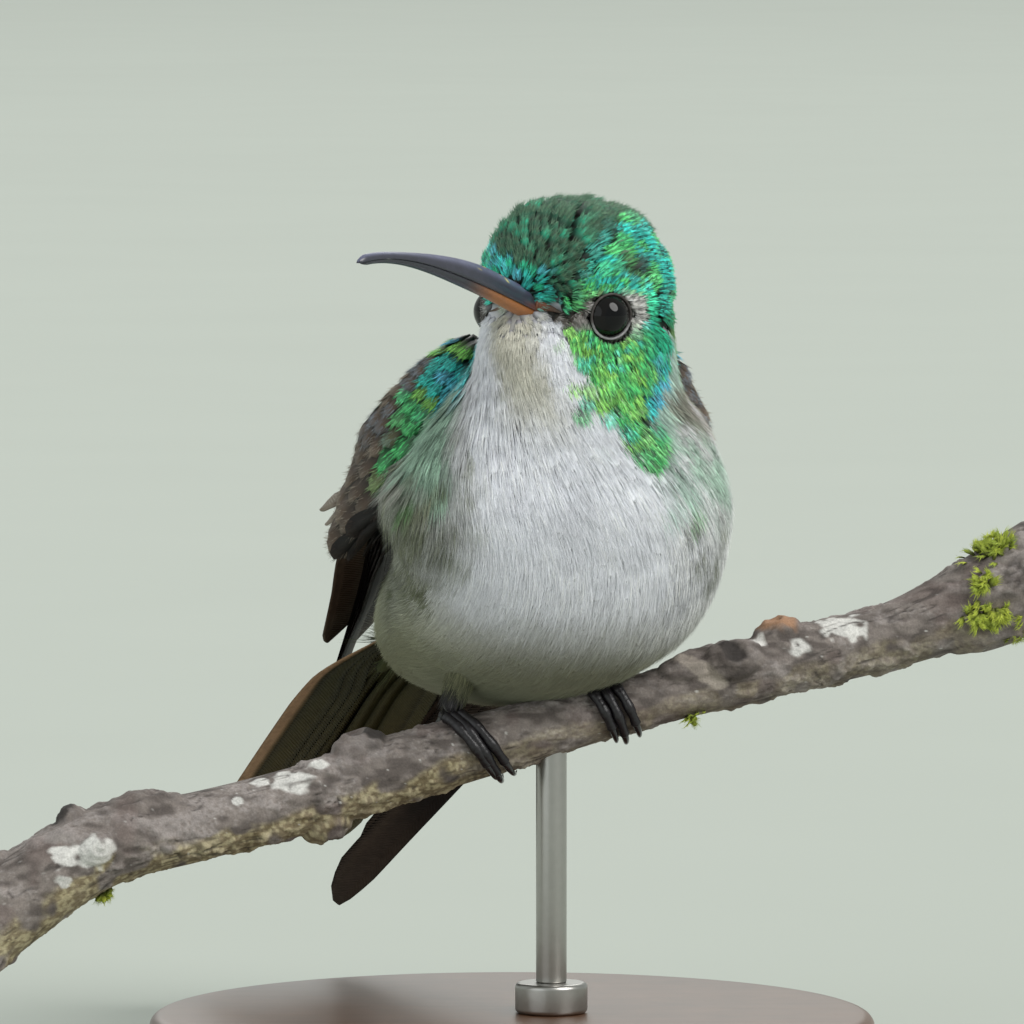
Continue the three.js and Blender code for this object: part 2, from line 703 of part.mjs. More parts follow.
// Legs and feet
for (const side of ["right", "left"]) {
  const toes = grip[side];
  node(`leg_${side}`, legSolid(FEET[side]), MATERIALS.foot);
  for (const { name, toe, claw } of toes) {
    node(`toe_${side}_${name}`, toe, MATERIALS.foot);
    node(`claw_${side}_${name}`, claw, MATERIALS.claw);
  }
}

// Perch
const twig = KNOTS.reduce((sum, k) => sum.add(knot(k)), twigLoft());
node("perch_branch", twig, MATERIALS.bark);

// Stand
const rodFoot = twigFrame(ROD_AT).centre;
const base = new THREE.CylinderGeometry(BASE_RADIUS, BASE_RADIUS, BASE_HEIGHT, 40);
base.rotateX(Math.PI / 2).translate(0, 0, BASE_HEIGHT / 2);
node("stand_base", solid(base), MATERIALS.wood);
const collar = new THREE.CylinderGeometry(COLLAR.radius, COLLAR.radius, COLLAR.height, 16);
collar.rotateX(Math.PI / 2).translate(rodFoot.x, rodFoot.y, BASE_HEIGHT + COLLAR.height / 2);
const rodBottom = BASE_HEIGHT + COLLAR.height;
const rod = new THREE.CylinderGeometry(ROD_RADIUS, ROD_RADIUS, rodFoot.z - rodBottom, 12);
rod.rotateX(Math.PI / 2).translate(rodFoot.x, rodFoot.y, (rodFoot.z + rodBottom) / 2);
node("stand_collar", solid(collar), MATERIALS.steel);
node("stand_rod", solid(rod).subtract(twigLoft(GAP)), MATERIALS.steel);

export default bird;
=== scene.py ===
# %% [markdown]
# # A perched hummingbird, life size
# This lesson dresses a plain solid model of a hummingbird: a smooth skin, some thousands of
# small feathers, long wing and tail feathers, a horn bill, scaly feet, and the twig and stand
# that hold it. The solid model gives every place and size, so the frame is loaded first.

import json

import bpy
import numpy as np
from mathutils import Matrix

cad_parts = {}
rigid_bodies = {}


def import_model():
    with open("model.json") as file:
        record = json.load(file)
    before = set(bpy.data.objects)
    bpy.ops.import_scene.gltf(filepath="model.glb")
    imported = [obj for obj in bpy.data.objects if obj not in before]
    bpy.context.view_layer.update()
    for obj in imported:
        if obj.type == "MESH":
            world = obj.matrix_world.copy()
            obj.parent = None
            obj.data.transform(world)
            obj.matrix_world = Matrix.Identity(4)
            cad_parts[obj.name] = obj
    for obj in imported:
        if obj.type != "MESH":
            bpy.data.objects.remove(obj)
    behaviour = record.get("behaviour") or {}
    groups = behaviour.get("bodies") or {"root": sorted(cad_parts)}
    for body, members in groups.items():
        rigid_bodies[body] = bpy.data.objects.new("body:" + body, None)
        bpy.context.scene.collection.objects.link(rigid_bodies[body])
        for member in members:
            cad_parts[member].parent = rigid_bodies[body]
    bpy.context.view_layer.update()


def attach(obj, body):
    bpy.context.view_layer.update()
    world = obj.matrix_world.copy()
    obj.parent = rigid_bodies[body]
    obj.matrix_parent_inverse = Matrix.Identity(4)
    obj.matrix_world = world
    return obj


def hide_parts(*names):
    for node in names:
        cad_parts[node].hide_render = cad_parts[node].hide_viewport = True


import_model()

# %% [markdown]
# ## Driving sizes
# All shapes below are worked out in millimetres and scaled once, when a mesh is made. The spine
# of the bird is a short list of stations: where its centre lies, which way its front faces, and
# how wide and deep the plumage is there. These are the sizes a sculptor would measure first.

# %% Driving sizes
MM = 0.001
UP = np.array([0.0, 0.0, 1.0])

# centre x, y, z; yaw of the front in degrees; half width, depth to the front, depth to the back
SPINE = np.array([
    [-8.2, 13.4, 29.4, 25, 0.0, 0.0, 0.0],
    [-6.7, 10.8, 30.6, 25, 3.9, 4.1, 2.6],
    [-3.0, 6.6, 32.6, 25, 7.2, 7.5, 5.4],
    [0.3, 2.9, 34.9, 22, 10.4, 9.5, 7.6],
    [2.45, 0.4, 38.0, 17, 12.65, 11.3, 9.3],
    [4.0, -1.2, 42.0, 10, 12.05, 10.9, 9.9],
    [4.15, -2.0, 46.2, -4, 10.15, 9.3, 8.8],
    [4.4, -2.5, 50.0, -20, 7.7, 8.2, 6.8],
    [4.5, -2.6, 53.4, -33, 7.2, 7.3, 6.5],
    [4.5, -2.5, 57.0, -38, 6.9, 6.7, 6.9],
    [4.55, -2.4, 60.2, -38, 5.35, 5.6, 5.5],
    [4.6, -2.3, 61.9, -38, 3.4, 3.75, 3.6],
    [4.65, -2.2, 62.5, -38, 0.0, 0.0, 0.0],
])
CROWN = len(SPINE) - 1
SECTION_STEP = 0.9  # stations each way that set a section's tilt, so that sections never cross
COAT_TRUNK, COAT_SKULL, COAT_FACE = 0.8, 0.45, 0.2  # depth of the plumage over the skin

HEAD_YAW = -37
HEAD = np.array([4.55, -2.5, 55.6])
FACE_REACH = 0.9
NOSTRIL_DENT = {1: 2.0, -1: 0.8}  # how deep the face falls in beside the bill, left and right
EYE_RADIUS = 1.75
EYE_FORWARD, EYE_ASIDE, EYE_UP = 2.9, 4.7, -1.15
EYE_DENT = 1.1

# %% [markdown]
# ## Small tools for curves and surfaces
# Everything is a formula on whole arrays. `spline` runs smoothly through rows of numbers, and
# `noise` is a soft random field in space, which gives bark and plumage their unevenness.

# %% Array helpers


def unit(v):
    """A vector divided by its length."""
    return v / np.maximum(np.linalg.norm(v, axis=-1, keepdims=True), 1e-9)


def dot(a, b):
    """The sum of products along the last axis, kept as a column."""
    return (a * b).sum(-1, keepdims=True)


def smooth(x):
    """0 below 0, 1 above 1, and three x squared minus two x cubed between."""
    x = np.clip(x, 0, 1)
    return x * x * (3 - 2 * x)


def onset(x, start, over):
    """smooth from 0 at start to 1 at start plus over."""
    return smooth((x - start) / over)


def fade(x, end, over):
    """smooth from 1 at end less over to 0 at end."""
    return smooth((end - x) / over)


def mix(a, b, share):
    """a where share is 0, b where it is 1."""
    return a + (b - a) * share


def blend(a, b, share):
    """mix for colours or places, where share has one number for each."""
    return mix(a, b, share[..., None])


def square_to(v, n):
    """The unit direction of what is left of v without its part along n."""
    return unit(v - n * dot(v, n))


def spline(rows, t):
    """Catmull-Rom: each place is a cubic blend of the two rows before it and the two after."""
    t = np.asarray(t, float)
    last = len(rows) - 1
    i = np.clip(np.floor(t).astype(int), 0, last - 1)
    f = (t - i)[..., None]
    pick = [rows[np.clip(i + k, 0, last)] for k in (-1, 0, 1, 2)]
    weight = [
        (-f + 2 * f**2 - f**3) / 2,
        (2 - 5 * f**2 + 3 * f**3) / 2,
        (f + 4 * f**2 - 3 * f**3) / 2,
        (-(f**2) + f**3) / 2,
    ]
    return sum(w * p for w, p in zip(weight, pick))


def course(rows, t, step):
    """The direction of a spline at t: from the place one step behind to the one ahead."""
    last = len(rows) - 1
    ahead = spline(rows, np.clip(t + step, 0, last))
    return unit(ahead - spline(rows, np.clip(t - step, 0, last)))


def surface_frame(point, t, phi, e, middle):
    """A surface's point, its normal away from the middle, and how it moves with t and with phi.

    The movements are differences over a step e to either side, and the normal is their cross
    product.
    """
    p = point(t, phi)
    by_t = (point(t + e, phi) - point(t - e, phi)) / (2 * e)
    by_phi = (point(t, phi + e) - point(t, phi - e)) / (2 * e)
    normal = unit(np.cross(by_phi, by_t))
    return p, np.where(dot(normal, p - middle) < 0, -normal, normal), by_t, by_phi


def turns(n):
    """n angles evenly round a circle, in radians, from 0."""
    return np.linspace(0, 2 * np.pi, n, endpoint=False)


def grid(first, last, rows, columns):
    """Stations down the rows and angles round the columns of a skin's net of points."""
    t = np.linspace(first, last, rows)[:, None] + np.zeros(columns)
    return t, turns(columns) + np.zeros((rows, 1))


def facing(yaw):
    """The level direction of a yaw in degrees: sine along X, minus cosine along Y."""
    a = np.radians(yaw)
    return np.stack([np.sin(a), -np.cos(a), np.zeros_like(a)], -1)


def lattice(cell, seed):
    """A fixed random number from 0 to 1 for each whole-number cell of space."""
    x, y, z = np.moveaxis(cell.astype(np.int64), -1, 0)
    n = (x * 374761393 + y * 668265263 + z * 1274126177 + seed * 974634777) & 0xFFFFFFFF
    n = ((n ^ (n >> 13)) * 1103515245) & 0xFFFFFFFF
    return ((n ^ (n >> 16)) & 0xFFFF) / 65535.0


def noise(p, size, seed=0):
    """Corner numbers of the cell round each point, blended by smooth weights: from 0 to 1."""
    p = p / size
    low = np.floor(p)
    f = smooth(p - low)
    total = 0.0
    for dx in (0, 1):
        for dy in (0, 1):
            for dz in (0, 1):
                corner = np.array([dx, dy, dz])
                w = np.abs(1 - corner - f).prod(-1)
                total = total + w * lattice(low + corner, seed)
    return total


def srgb(*colour):
    """A colour given from 0 to 255, as the linear light that a shader wants."""
    c = np.array(colour, float) / 255
    return np.where(c <= 0.04045, c / 12.92, ((c + 0.055) / 1.055) ** 2.4)


# %% [markdown]
# ## Meshes from arrays
# One function puts points, faces, colours and maps into Blender. A closed shape whose faces
# point inwards has a negative volume, so the volume's sign tells when to turn them round.

# %% Mesh maker


def volume(points, faces):
    """A sixth of the sum of triple products of each face's fan of triangles."""
    a = points[faces[:, 0]]
    total = 0.0
    for k in range(1, faces.shape[1] - 1):
        b, c = points[faces[:, k]], points[faces[:, k + 1]]
        total += (a * np.cross(b, c)).sum() / 6
    return total


def outward(points, *groups):
    """The face groups, turned round together if they point inwards."""
    if sum(volume(points, g) for g in groups) < 0:
        return [g[:, ::-1] for g in groups]
    return list(groups)


def put(name, points, groups, colour=None, gloss=None, maps=None, flat=False):
    """A mesh object from millimetre points and arrays of triangles and quads.

    colour is a value per point, gloss a number per point, and maps holds, for each map's name,
    one array of corner places per face group. flat is whether faces have sharp edges, for all
    groups or for each.
    """
    mesh = bpy.data.meshes.new(name)
    loops = np.concatenate([g.ravel() for g in groups]).astype(np.int32)
    sizes = np.concatenate([np.full(len(g), g.shape[1]) for g in groups])
    mesh.vertices.add(len(points))
    mesh.vertices.foreach_set("co", (points * MM).astype(np.float32).ravel())
    mesh.loops.add(len(loops))
    mesh.loops.foreach_set("vertex_index", loops)
    mesh.polygons.add(len(sizes))
    starts = np.concatenate([[0], np.cumsum(sizes)[:-1]]).astype(np.int32)
    mesh.polygons.foreach_set("loop_start", starts)
    sharp = flat if isinstance(flat, list) else [flat] * len(groups)
    rounded_off = np.concatenate([np.full(len(g), not f) for g, f in zip(groups, sharp)])
    mesh.polygons.foreach_set("use_smooth", rounded_off)
    for key, corners in (maps or {}).items():
        layer = mesh.uv_layers.new(name=key)
        uv = np.concatenate([c.reshape(-1, 2) for c in corners]).astype(np.float32)
        layer.uv.foreach_set("vector", uv.ravel())
    if colour is not None:
        rgba = np.ones((len(points), 4), np.float32)
        rgba[:, :3] = colour
        mesh.attributes.new("Tint", "FLOAT_COLOR", "POINT").data.foreach_set("color", rgba.ravel())
    if gloss is not None:
        layer = mesh.attributes.new("Gloss", "FLOAT", "POINT")
        layer.data.foreach_set("value", np.broadcast_to(gloss, len(points)).astype(np.float32))
    mesh.update(calc_edges=True)
    mesh.validate()
    piece = bpy.data.objects.new(name, mesh)
    bpy.context.scene.collection.objects.link(piece)
    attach(piece, "root")
    triangles = int((sizes - 2).sum())
    print(f"{name}: {len(points)} points, {triangles} triangles")
    return piece


# %% Tube maker


def tube_faces(rows, columns):
    """Quads between the rings of a tube, a fan at each end, and their places on a map.

    Ring i and column j meet at point i * columns + j, and the last two points are the poles.
    """
    i, j = np.meshgrid(np.arange(rows - 1), np.arange(columns), indexing="ij")
    k = (j + 1) % columns
    quads = np.stack(
        [i * columns + j, i * columns + k, (i + 1) * columns + k, (i + 1) * columns + j], -1
    ).reshape(-1, 4)
    u0, u1 = j / columns, (j + 1) / columns
    v0, v1 = (i + 0.5) / rows, (i + 1.5) / rows
    places = np.stack([u0, v0, u1, v0, u1, v1, u0, v1], -1).reshape(-1, 4, 2)
    c = np.arange(columns)
    n = (c + 1) % columns
    end = (rows - 1) * columns
    pole = np.full(columns, rows * columns)
    fans = np.concatenate(
        [np.stack([pole, n, c], -1), np.stack([pole + 1, end + c, end + n], -1)]
    )
    m, e = (c + 0.5) / columns, 0.5 / rows
    low = np.stack([m, 0 * m, (c + 1) / columns, 0 * m + e, c / columns, 0 * m + e], -1)
    high = [m, 0 * m + 1, c / columns, 0 * m + 1 - e, (c + 1) / columns, 0 * m + 1 - e]
    high = np.stack(high, -1)
    return quads, fans, places, np.concatenate([low, high]).reshape(-1, 3, 2)


def closed_tube(rings, poles=None):
    """The points of a tube with a pole at each end, and its quads, fans and maps, facing out."""
    if poles is None:
        poles = np.stack([rings[0].mean(0), rings[-1].mean(0)])
    points = np.concatenate([rings.reshape(-1, 3), poles])
    parts = tube_faces(*rings.shape[:2])
    if volume(points, parts[0]) + volume(points, parts[1]) < 0:
        parts = [part[:, ::-1] for part in parts]
    return points, *parts


def tube(name, rings, poles=None, colour=None, gloss=None):
    """A closed skin through rings of points, with a pole at the middle of each end ring."""
    rows, columns = rings.shape[:2]
    points, quads, fans, q_uv, f_uv = closed_tube(rings, poles)

    def spread(values):
        """A value per ring point, with its mean over the end ring for each pole."""
        if values is None or np.ndim(values) <= 1 and np.size(values) in (1, 3):
            return values
        values = values.reshape(rows * columns, -1)
        ends = np.stack([values[:columns].mean(0), values[-columns:].mean(0)])
        return np.concatenate([values, ends]).squeeze()

    maps = {"OFBake": [q_uv, f_uv]}
    return put(name, points, [quads, fans], spread(colour), spread(gloss), maps)


# %% [markdown]
# ## The shape of the plumage
# Each ring round the spine is half an ellipse in front and half behind. The rings stand square
# to the spine, so the belly, the throat and the skull run into each other with no seam. The face
# is drawn out towards the bill and sinks in round the eyes.

# %% Body surface
head_forward = facing(HEAD_YAW)
head_left = np.cross(UP, head_forward)


def on_head(forward, aside, up):
    """A place in the head's own directions, from the middle of the skull."""
    return HEAD + head_forward * forward + head_left * aside + UP * up


BILL_ROOT = on_head(5.7, 0.0, -0.95)
EYE_TURN = {"left": 1, "right": -1}
EYES = {side: on_head(EYE_FORWARD, EYE_ASIDE * sign, EYE_UP) for side, sign in EYE_TURN.items()}
GAZES = {
    side: unit(head_forward * 0.40 + head_left * 0.91 * sign - UP * 0.05)
    for side, sign in EYE_TURN.items()
}
PLUMAGE_STEP = 0.02  # step of the plumage's slopes, in stations and in radians


def plumage_point(t, phi):
    """Spine centre plus front or back depth times cosine, plus half width times sine."""
    t, phi = np.broadcast_arrays(np.asarray(t, float), np.asarray(phi, float))
    row = spline(SPINE, np.clip(t, 0, CROWN))
    along = course(SPINE[:, :3], t, SECTION_STEP)
    front = square_to(facing(row[..., 3]), along)
    left = np.cross(along, front)
    c, s = np.cos(phi)[..., None], np.sin(phi)[..., None]
    deep = np.maximum(np.where(c > 0, row[..., 5:6], row[..., 6:7]), 0)
    wide = np.maximum(row[..., 4:5], 0)
    p = row[..., :3] + front * c * deep + left * s * wide
    out = unit(p - HEAD)
    to_bill = unit(BILL_ROOT - HEAD)
    p = p + to_bill * FACE_REACH * np.maximum(dot(out, to_bill), 0) ** 12
    for eye in EYES.values():
        to_eye = unit(eye - HEAD)
        p = p - to_eye * EYE_DENT * np.maximum(dot(out, to_eye), 0) ** 14
    for sign, dent in NOSTRIL_DENT.items():
        to_notch = unit(on_head(7.0, 1.7 * sign, -0.65) - HEAD)
        p = p - to_bill * dent * np.maximum(dot(out, to_notch), 0) ** 30
    return p


def plumage_frame(t, phi):
    """The point, its outward normal, and how it moves with t and with phi."""
    t = np.clip(t, 2 * PLUMAGE_STEP, CROWN - 2 * PLUMAGE_STEP)
    return surface_frame(plumage_point, t, phi, PLUMAGE_STEP, spline(SPINE[:, :3], t))


sample = plumage_point(np.linspace(0, CROWN, 60)[:, None], np.linspace(0, 2 * np.pi, 60))
print("plumage spans, mm:", sample.min((0, 1)).round(1), sample.max((0, 1)).round(1))

# %% [markdown]
# ## Markings
# The skin and the coat must carry the same pattern, so one function gives the colour for any
# place on the body. It works from the head's own directions and from the place along and round
# the spine: a dusky green crown, a turquoise forehead, emerald cheeks, a white throat and
# breast, mottled flanks and a bronzy green back. Each place has three colours, for the hidden
# root of a feather, its vane and its hairy fringe, a gloss for the metallic greens, and a
# contrast, which is how much the barbs differ in brightness.

# %% Colours and markings
WHITE = srgb(240, 241, 247)
# a greyer white, painted shade, for the vanes and roots beneath the white barbs
WHITE_PAINTED_SHADE = srgb(212, 213, 222)
DOWN = srgb(150, 150, 158)
THROAT_PAINTED_SHADOW = srgb(208, 205, 190)
CREAM = srgb(218, 219, 202)
# the next two colours are painted shade on the underside of the belly
CREAM_PAINTED_SHADE = srgb(176, 178, 150)
BELLY_PAINTED_SHADE = srgb(132, 132, 104)
FLANK = srgb(196, 198, 188)
OLIVE = srgb(96, 104, 62)
DUSKY = srgb(42, 102, 78)
FRINGE = srgb(98, 124, 100)
TURQUOISE = srgb(70, 218, 206)
TEAL = srgb(56, 204, 160)
EMERALD = srgb(104, 220, 138)
LIME = srgb(158, 228, 118)
MINT = srgb(158, 226, 184)
SKY = srgb(104, 196, 222)
BRONZE = srgb(82, 128, 44)
COPPER = srgb(112, 112, 52)
LORE = srgb(88, 76, 66)
PALE_RING = srgb(226, 222, 220)
DARK = srgb(26, 26, 22)
BROWN = srgb(88, 72, 60)
BRIGHT_SPOT = srgb(120, 190, 110)

# stations down the spine, and the turn from the front at which the green bib starts and ends there
BIB_STATIONS = (5.45, 5.61, 6.25, 6.85, 7.3, 7.8, 8.4)
BIB_FRONT = (29, 29, 28, 29, 31, 26, 21)
BIB_REAR = (29, 31, 50, 70, 86, 100, 114)
# single dark feathers: station, turn from the front, radius in millimetres, colour
SPOTS = (
    (4.51, -75, 0.75, BRIGHT_SPOT * 0.6), (5.17, -62, 0.6, OLIVE), (4.29, -49, 0.55, OLIVE * 0.8),
    (4.20, -58, 0.4, OLIVE), (3.02, -47, 0.8, OLIVE), (1.9, -62, 0.8, OLIVE * 0.9),
    (3.7, -66, 0.6, OLIVE), (2.4, -66, 0.7, OLIVE), (3.4, -78, 0.8, OLIVE),
    (5.17, 42, 0.45, OLIVE * 0.8), (5.22, 48, 0.3, BRIGHT_SPOT), (5.0, 22, 0.25, OLIVE * 0.8),
    (4.8, 47, 0.3, OLIVE), (4.6, 60, 0.4, OLIVE), (5.0, 64, 0.4, OLIVE),
)


# %% Colours by place


def near_eye(p):
    """Distance from the nearer eye's middle, across its line of sight, and how far behind it."""
    far = np.full(p.shape[:-1], 9.0)
    behind, over = np.zeros_like(far), np.zeros_like(far)
    for side, eye in EYES.items():
        gap = p - eye
        reach = dot(gap, GAZES[side])
        flat = gap - GAZES[side] * reach
        here = np.linalg.norm(flat, axis=-1) + 9 * (reach[..., 0] < -2.2)
        closer = here < far
        behind = np.where(closer, -(flat @ head_forward), behind)
        over = np.where(closer, flat[..., 2], over)
        far = np.minimum(far, here)
    return far, behind, over


def coat_depth(p, t):
    """Deep on the trunk, shallow on the skull, and least on the face and round the eyes."""
    ahead = (p - HEAD) @ unit(BILL_ROOT - HEAD)
    face = np.maximum(onset(ahead, 2.6, 2.5), fade(near_eye(p)[0], 3.4, 1.2))
    skull = onset(t, 7.0, 1.5)
    return mix(mix(COAT_TRUNK, COAT_SKULL, skull), COAT_FACE, face * onset(t, 7.4, 0.6))


def markings(p, t, phi):
    """Root, vane and fringe colours, the gloss and the contrast of the barbs at each place."""
    q = p - HEAD
    f, l, u = q @ head_forward, q @ head_left, q[..., 2]
    turn = np.degrees(np.arctan2(np.sin(phi), np.cos(phi)))
    side = np.abs(turn)
    big, small = noise(p, 3.2, 5), noise(p, 0.9, 9)
    cell = lattice(np.round(p * 7), 3)
    n = np.ones(p.shape[:-1] + (1,))
    # White feathers start with painted shade grey under their white barbs.
    layers = [blend(DOWN, WHITE_PAINTED_SHADE * 0.85, onset(t, 6.2, 0.8)), WHITE_PAINTED_SHADE * n, WHITE * n]
    gloss = np.zeros(p.shape[:-1])
    contrast = np.full(p.shape[:-1], 0.14)

    def put_on(colour, share):
        """The three layers, each mixed with its own new colour."""
        return [blend(a, b, share) for a, b in zip(layers, colour)]

    # Lower belly turns cream, more so towards the bird's right, and painted shade darkens the cream
    # towards the bottom.
    low = fade(t, 3.9, 1.5) * mix(0.35, 1.0, fade(turn, 30, 60))
    cream_and_painted_shade = blend(CREAM, CREAM_PAINTED_SHADE, fade(t, 3.0, 1.2))
    layers = put_on((DOWN * 0.8, CREAM * 0.6, cream_and_painted_shade), low)

    # Painted shade: the belly darkens to olive grey below a height of about 35 mm.
    painted_low_shade = fade(p[..., 2], 34.8, 6.5)
    layers = put_on((DOWN * 0.6, BELLY_PAINTED_SHADE * 0.7, BELLY_PAINTED_SHADE), painted_low_shade * 0.9)

    # The sides of the breast and the flanks are combed with fine dark lines.
    inner = mix(36, 30, fade(t, 5.1, 1.0))
    ramp = mix(30, 20, smooth(turn / 30))
    combed = smooth((side - mix(inner, 44, smooth(turn / 30))) / ramp) * fade(t, 7.2, 1.2)
    combed = combed * onset(t, 1.0, 1.2)
    flank_tint = blend(mix(FLANK, OLIVE, 0.25) * 0.6, FLANK * 0.86, smooth(turn / 30))
    combing = combed * mix(0.95, 0.5, smooth(turn / 30))
    layers = put_on((DARK * 2, flank_tint * 0.4, flank_tint), combing)
    contrast = mix(contrast, 0.62, combed)
    spot = onset(side, 34, 12) * fade(t, 6.4, 0.8) * onset(t, 2.0, 0.8)
    spot = spot * smooth((big * 0.3 + cell * 0.75 - mix(0.62, 0.86, smooth(turn / 20))) / 0.1)
    layers = put_on((DARK, OLIVE * 0.42, OLIVE * 1.15), spot * 0.5 * (turn < 0))

    # A faint grey shadow of down on the middle of the breast.
    shade = np.exp(-(((p[..., 0] - 4.2) / 1.6) ** 2) - ((p[..., 2] - 40.5) / 3.0) ** 2)
    layers = put_on((DOWN, WHITE_PAINTED_SHADE * 0.7, WHITE * 0.8), shade * 0.6)

    # Throat: painted shadow under the bill, an olive grey tint down its middle.
    chin = onset(t, 5.9, 1.2) * fade(np.abs(turn + 6), 24, 16)
    layers = put_on((DOWN, THROAT_PAINTED_SHADOW * 0.7, THROAT_PAINTED_SHADOW), chin * 0.9)

    # Sides of the neck: glittering strokes that end in a bib point on each side.
    line = np.interp(t, BIB_STATIONS, BIB_FRONT)
    line = np.where(turn < 0, mix(54, 49, onset(t, 7.4, 1.0)), line)
    green = smooth((side - line + 7 * (small - 0.5)) / 5)
    below = np.where(turn < 0, 6.35, 5.6) + 0.5 * (small - 0.5)
    neck = green * smooth((t - below) / 0.4)
    rear_line = np.interp(t, BIB_STATIONS, BIB_REAR)
    behind = smooth((side - rear_line + 6 * (small - 0.5)) / 5) * fade(t, 7.9, 0.3) * (turn > 0)
    neck = neck * (1 - behind)
    speck = smooth((side - line + 13) / 3) * smooth((line + 4 - side) / 5) * (turn > 0)
    speck = speck * onset(t - below, 0.1, 0.2) * fade(t, 7.9, 0.3)
    speck = speck * onset(cell, 0.70, 0.04)
    glitter = blend(EMERALD, LIME, onset(cell, 0.30, 0.4))
    glitter = blend(glitter, MINT, fade(t, 6.5, 0.8) * onset(cell, 0.3, 0.3) * 0.8)
    glitter = blend(glitter, TEAL, onset(side, 62, 24) * onset(t, 6.9, 0.8))
    rear_edge = smooth((side - rear_line + 14) / 6) * onset(t, 6.2, 0.4) * fade(t, 7.8, 0.3)
    glitter = blend(glitter, SKY, rear_edge * (turn > 0) * onset(cell, 0.25, 0.2))
    glitter = blend(glitter, TURQUOISE, onset(cell, 0.86, 0.05) * 0.7)
    cool = onset(turn * -1, 30, 20) * fade(t, 8.2, 0.8)
    glitter = blend(glitter, blend(SKY, TURQUOISE, small), cool)
    share = np.maximum(neck, speck * 0.8)
    layers = put_on((DARK * 0.8, glitter * 0.10, glitter), share)
    gloss = np.maximum(gloss, share)
    contrast = mix(contrast, 0.72, share)

    # Green grey bars run out below the bib.
    reach = mix(1.7, 0.3, smooth(turn / 20))
    bars = smooth((side - line + 4) / 12) * smooth((below + 0.3 - t) / 0.4)
    bars = bars * smooth((t - below + reach) / 0.5)
    beside = behind * onset(t, 5.0, 0.4) * fade(t, 8.1, 0.3)
    upper = onset(t, 6.5, 0.4)
    beside = beside * smooth((mix(92, 124, upper) - side) / 10)
    bars = np.maximum(bars, beside * np.maximum(onset(small, 0.36, 0.1), upper) * 0.9)
    layers = put_on((DARK, TEAL * 0.12 + OLIVE * 0.2, TEAL * 0.34 + FLANK * 0.62), bars * 0.8)
    contrast = mix(contrast, 0.62, bars)
    gloss = np.maximum(gloss, bars * 0.25)
    shoulder = behind * onset(side, 66, 8) * onset(t, 6.0, 0.3) * fade(t, 7.1, 0.3)
    shoulder = shoulder * onset(small, 0.40, 0.10)
    layers = put_on((DARK, BROWN * 0.8, BROWN * 1.8), shoulder * 0.7)
    contrast = np.maximum(contrast, behind * 0.62)
    gloss = gloss * (1 - shoulder)
    for at_t, at_turn, size, ink in SPOTS:
        gap = np.hypot((t - at_t) * 4.0, (turn - at_turn) * 0.17) / size
        blot = smooth((1.15 + 0.7 * (small - 0.5) - gap) / 0.3)
        layers = put_on((DARK, ink * 0.4, ink), blot * 0.7)

    # The skull: bright sides, a dusky cap of scales, and a turquoise band above the bill.
    above = onset(t, 7.7, 0.5)
    flank_of_head = smooth((u - 0.1 + onset(f, 4.8, 1.0)) / 0.8) * above
    rim = blend(TURQUOISE * 0.9, EMERALD, onset(cell, 0.45, 0.3))
    layers = put_on((DARK, rim * 0.12, rim), flank_of_head)
    gloss = np.maximum(gloss, flank_of_head)
    contrast = np.maximum(contrast, flank_of_head * 0.68)
    dusky = smooth((4.6 + 0.05 * u - np.abs(l) + 0.9 * (small - 0.5)) / 0.7)
    dusky = dusky * smooth((u + 0.25) / 0.6) * smooth((f + 6.2) / 1.5) * above
    tone = blend(DUSKY, TEAL * 0.7, onset(cell, 0.72, 0.1))
    tone = blend(tone, DUSKY * 0.6 + LORE * 0.3, onset(big, 0.58, 0.15) * 0.7)
    layers = put_on((DARK * 0.6, tone, FRINGE), dusky)
    gloss = mix(gloss, 0.32, dusky)
    contrast = mix(contrast, 0.4, dusky)
    high = 2.6 + 0.35 * np.clip(-l, -1, 4) + 0.7 * (small - 0.5)
    brow = smooth((f - 3.1 + 0.7 * (small - 0.5)) / 0.6) * smooth((u + 0.3) / 0.4)
    brow = brow * smooth((high - u) / 0.6) * smooth((2.8 - l + 0.8 * (small - 0.5)) / 0.9) * above
    blue = blend(TEAL, TURQUOISE, onset(cell, 0.3, 0.3))
    blue = blend(blue, SKY, (cell > 0.8) * 0.7)
    layers = put_on((DARK, blue * 0.2, blue * 0.95), brow)
    gloss = np.maximum(gloss, brow)
    contrast = mix(contrast, 0.6, brow)

    # Lores, the pale ring round the eye and a dusky patch above and behind it.
    far, back, over = near_eye(p)
    floor_line = mix(-2.3, -1.0, onset(far, 2.6, 2.2))
    roof = mix(0.45, -0.45, onset(f, 4.2, 1.5))
    lore = onset(f, 2.9, 0.8) * smooth((u - floor_line) / 0.4) * smooth((roof - u) / 0.4)
    lore = lore * smooth((np.abs(l) - np.where(l < 0, 3.2, 0.5)) / 0.4)
    lore = lore * fade(far, 7.2, 0.6) * above
    pale = (0.3 + 0.55 * cell) * fade(f, 6.4, 0.8)
    layers = put_on((DARK, LORE * 0.5, blend(LORE * 0.7, PALE_RING, pale)), lore)
    gloss = gloss * (1 - lore)
    patch = np.exp(-(((back - 1.6) / 1.3) ** 2) - ((over - 3.4) / 0.8) ** 2) * above
    layers = put_on((DARK, LORE * 0.5, LORE * 0.9), patch * 0.8)
    gloss = gloss * (1 - patch)
    rear = onset(back, 0.2, 0.8)
    ring = smooth((mix(2.0, 2.75, rear) - far) / 0.3) * above * mix(0.3, 1.0, rear)
    ring = ring * fade(over, 1.9, 0.6)
    layers = put_on((DARK * 2, PALE_RING * 0.6, PALE_RING), ring)
    gloss = gloss * (1 - ring)
    bare = fade(far, 1.8, 0.2) * above
    layers = put_on((DARK, DARK * 1.5, DARK * 2), bare)
    contrast = mix(contrast, 0.4, np.maximum(lore, ring))
    contrast = np.maximum(contrast, ring * rear * 0.75)

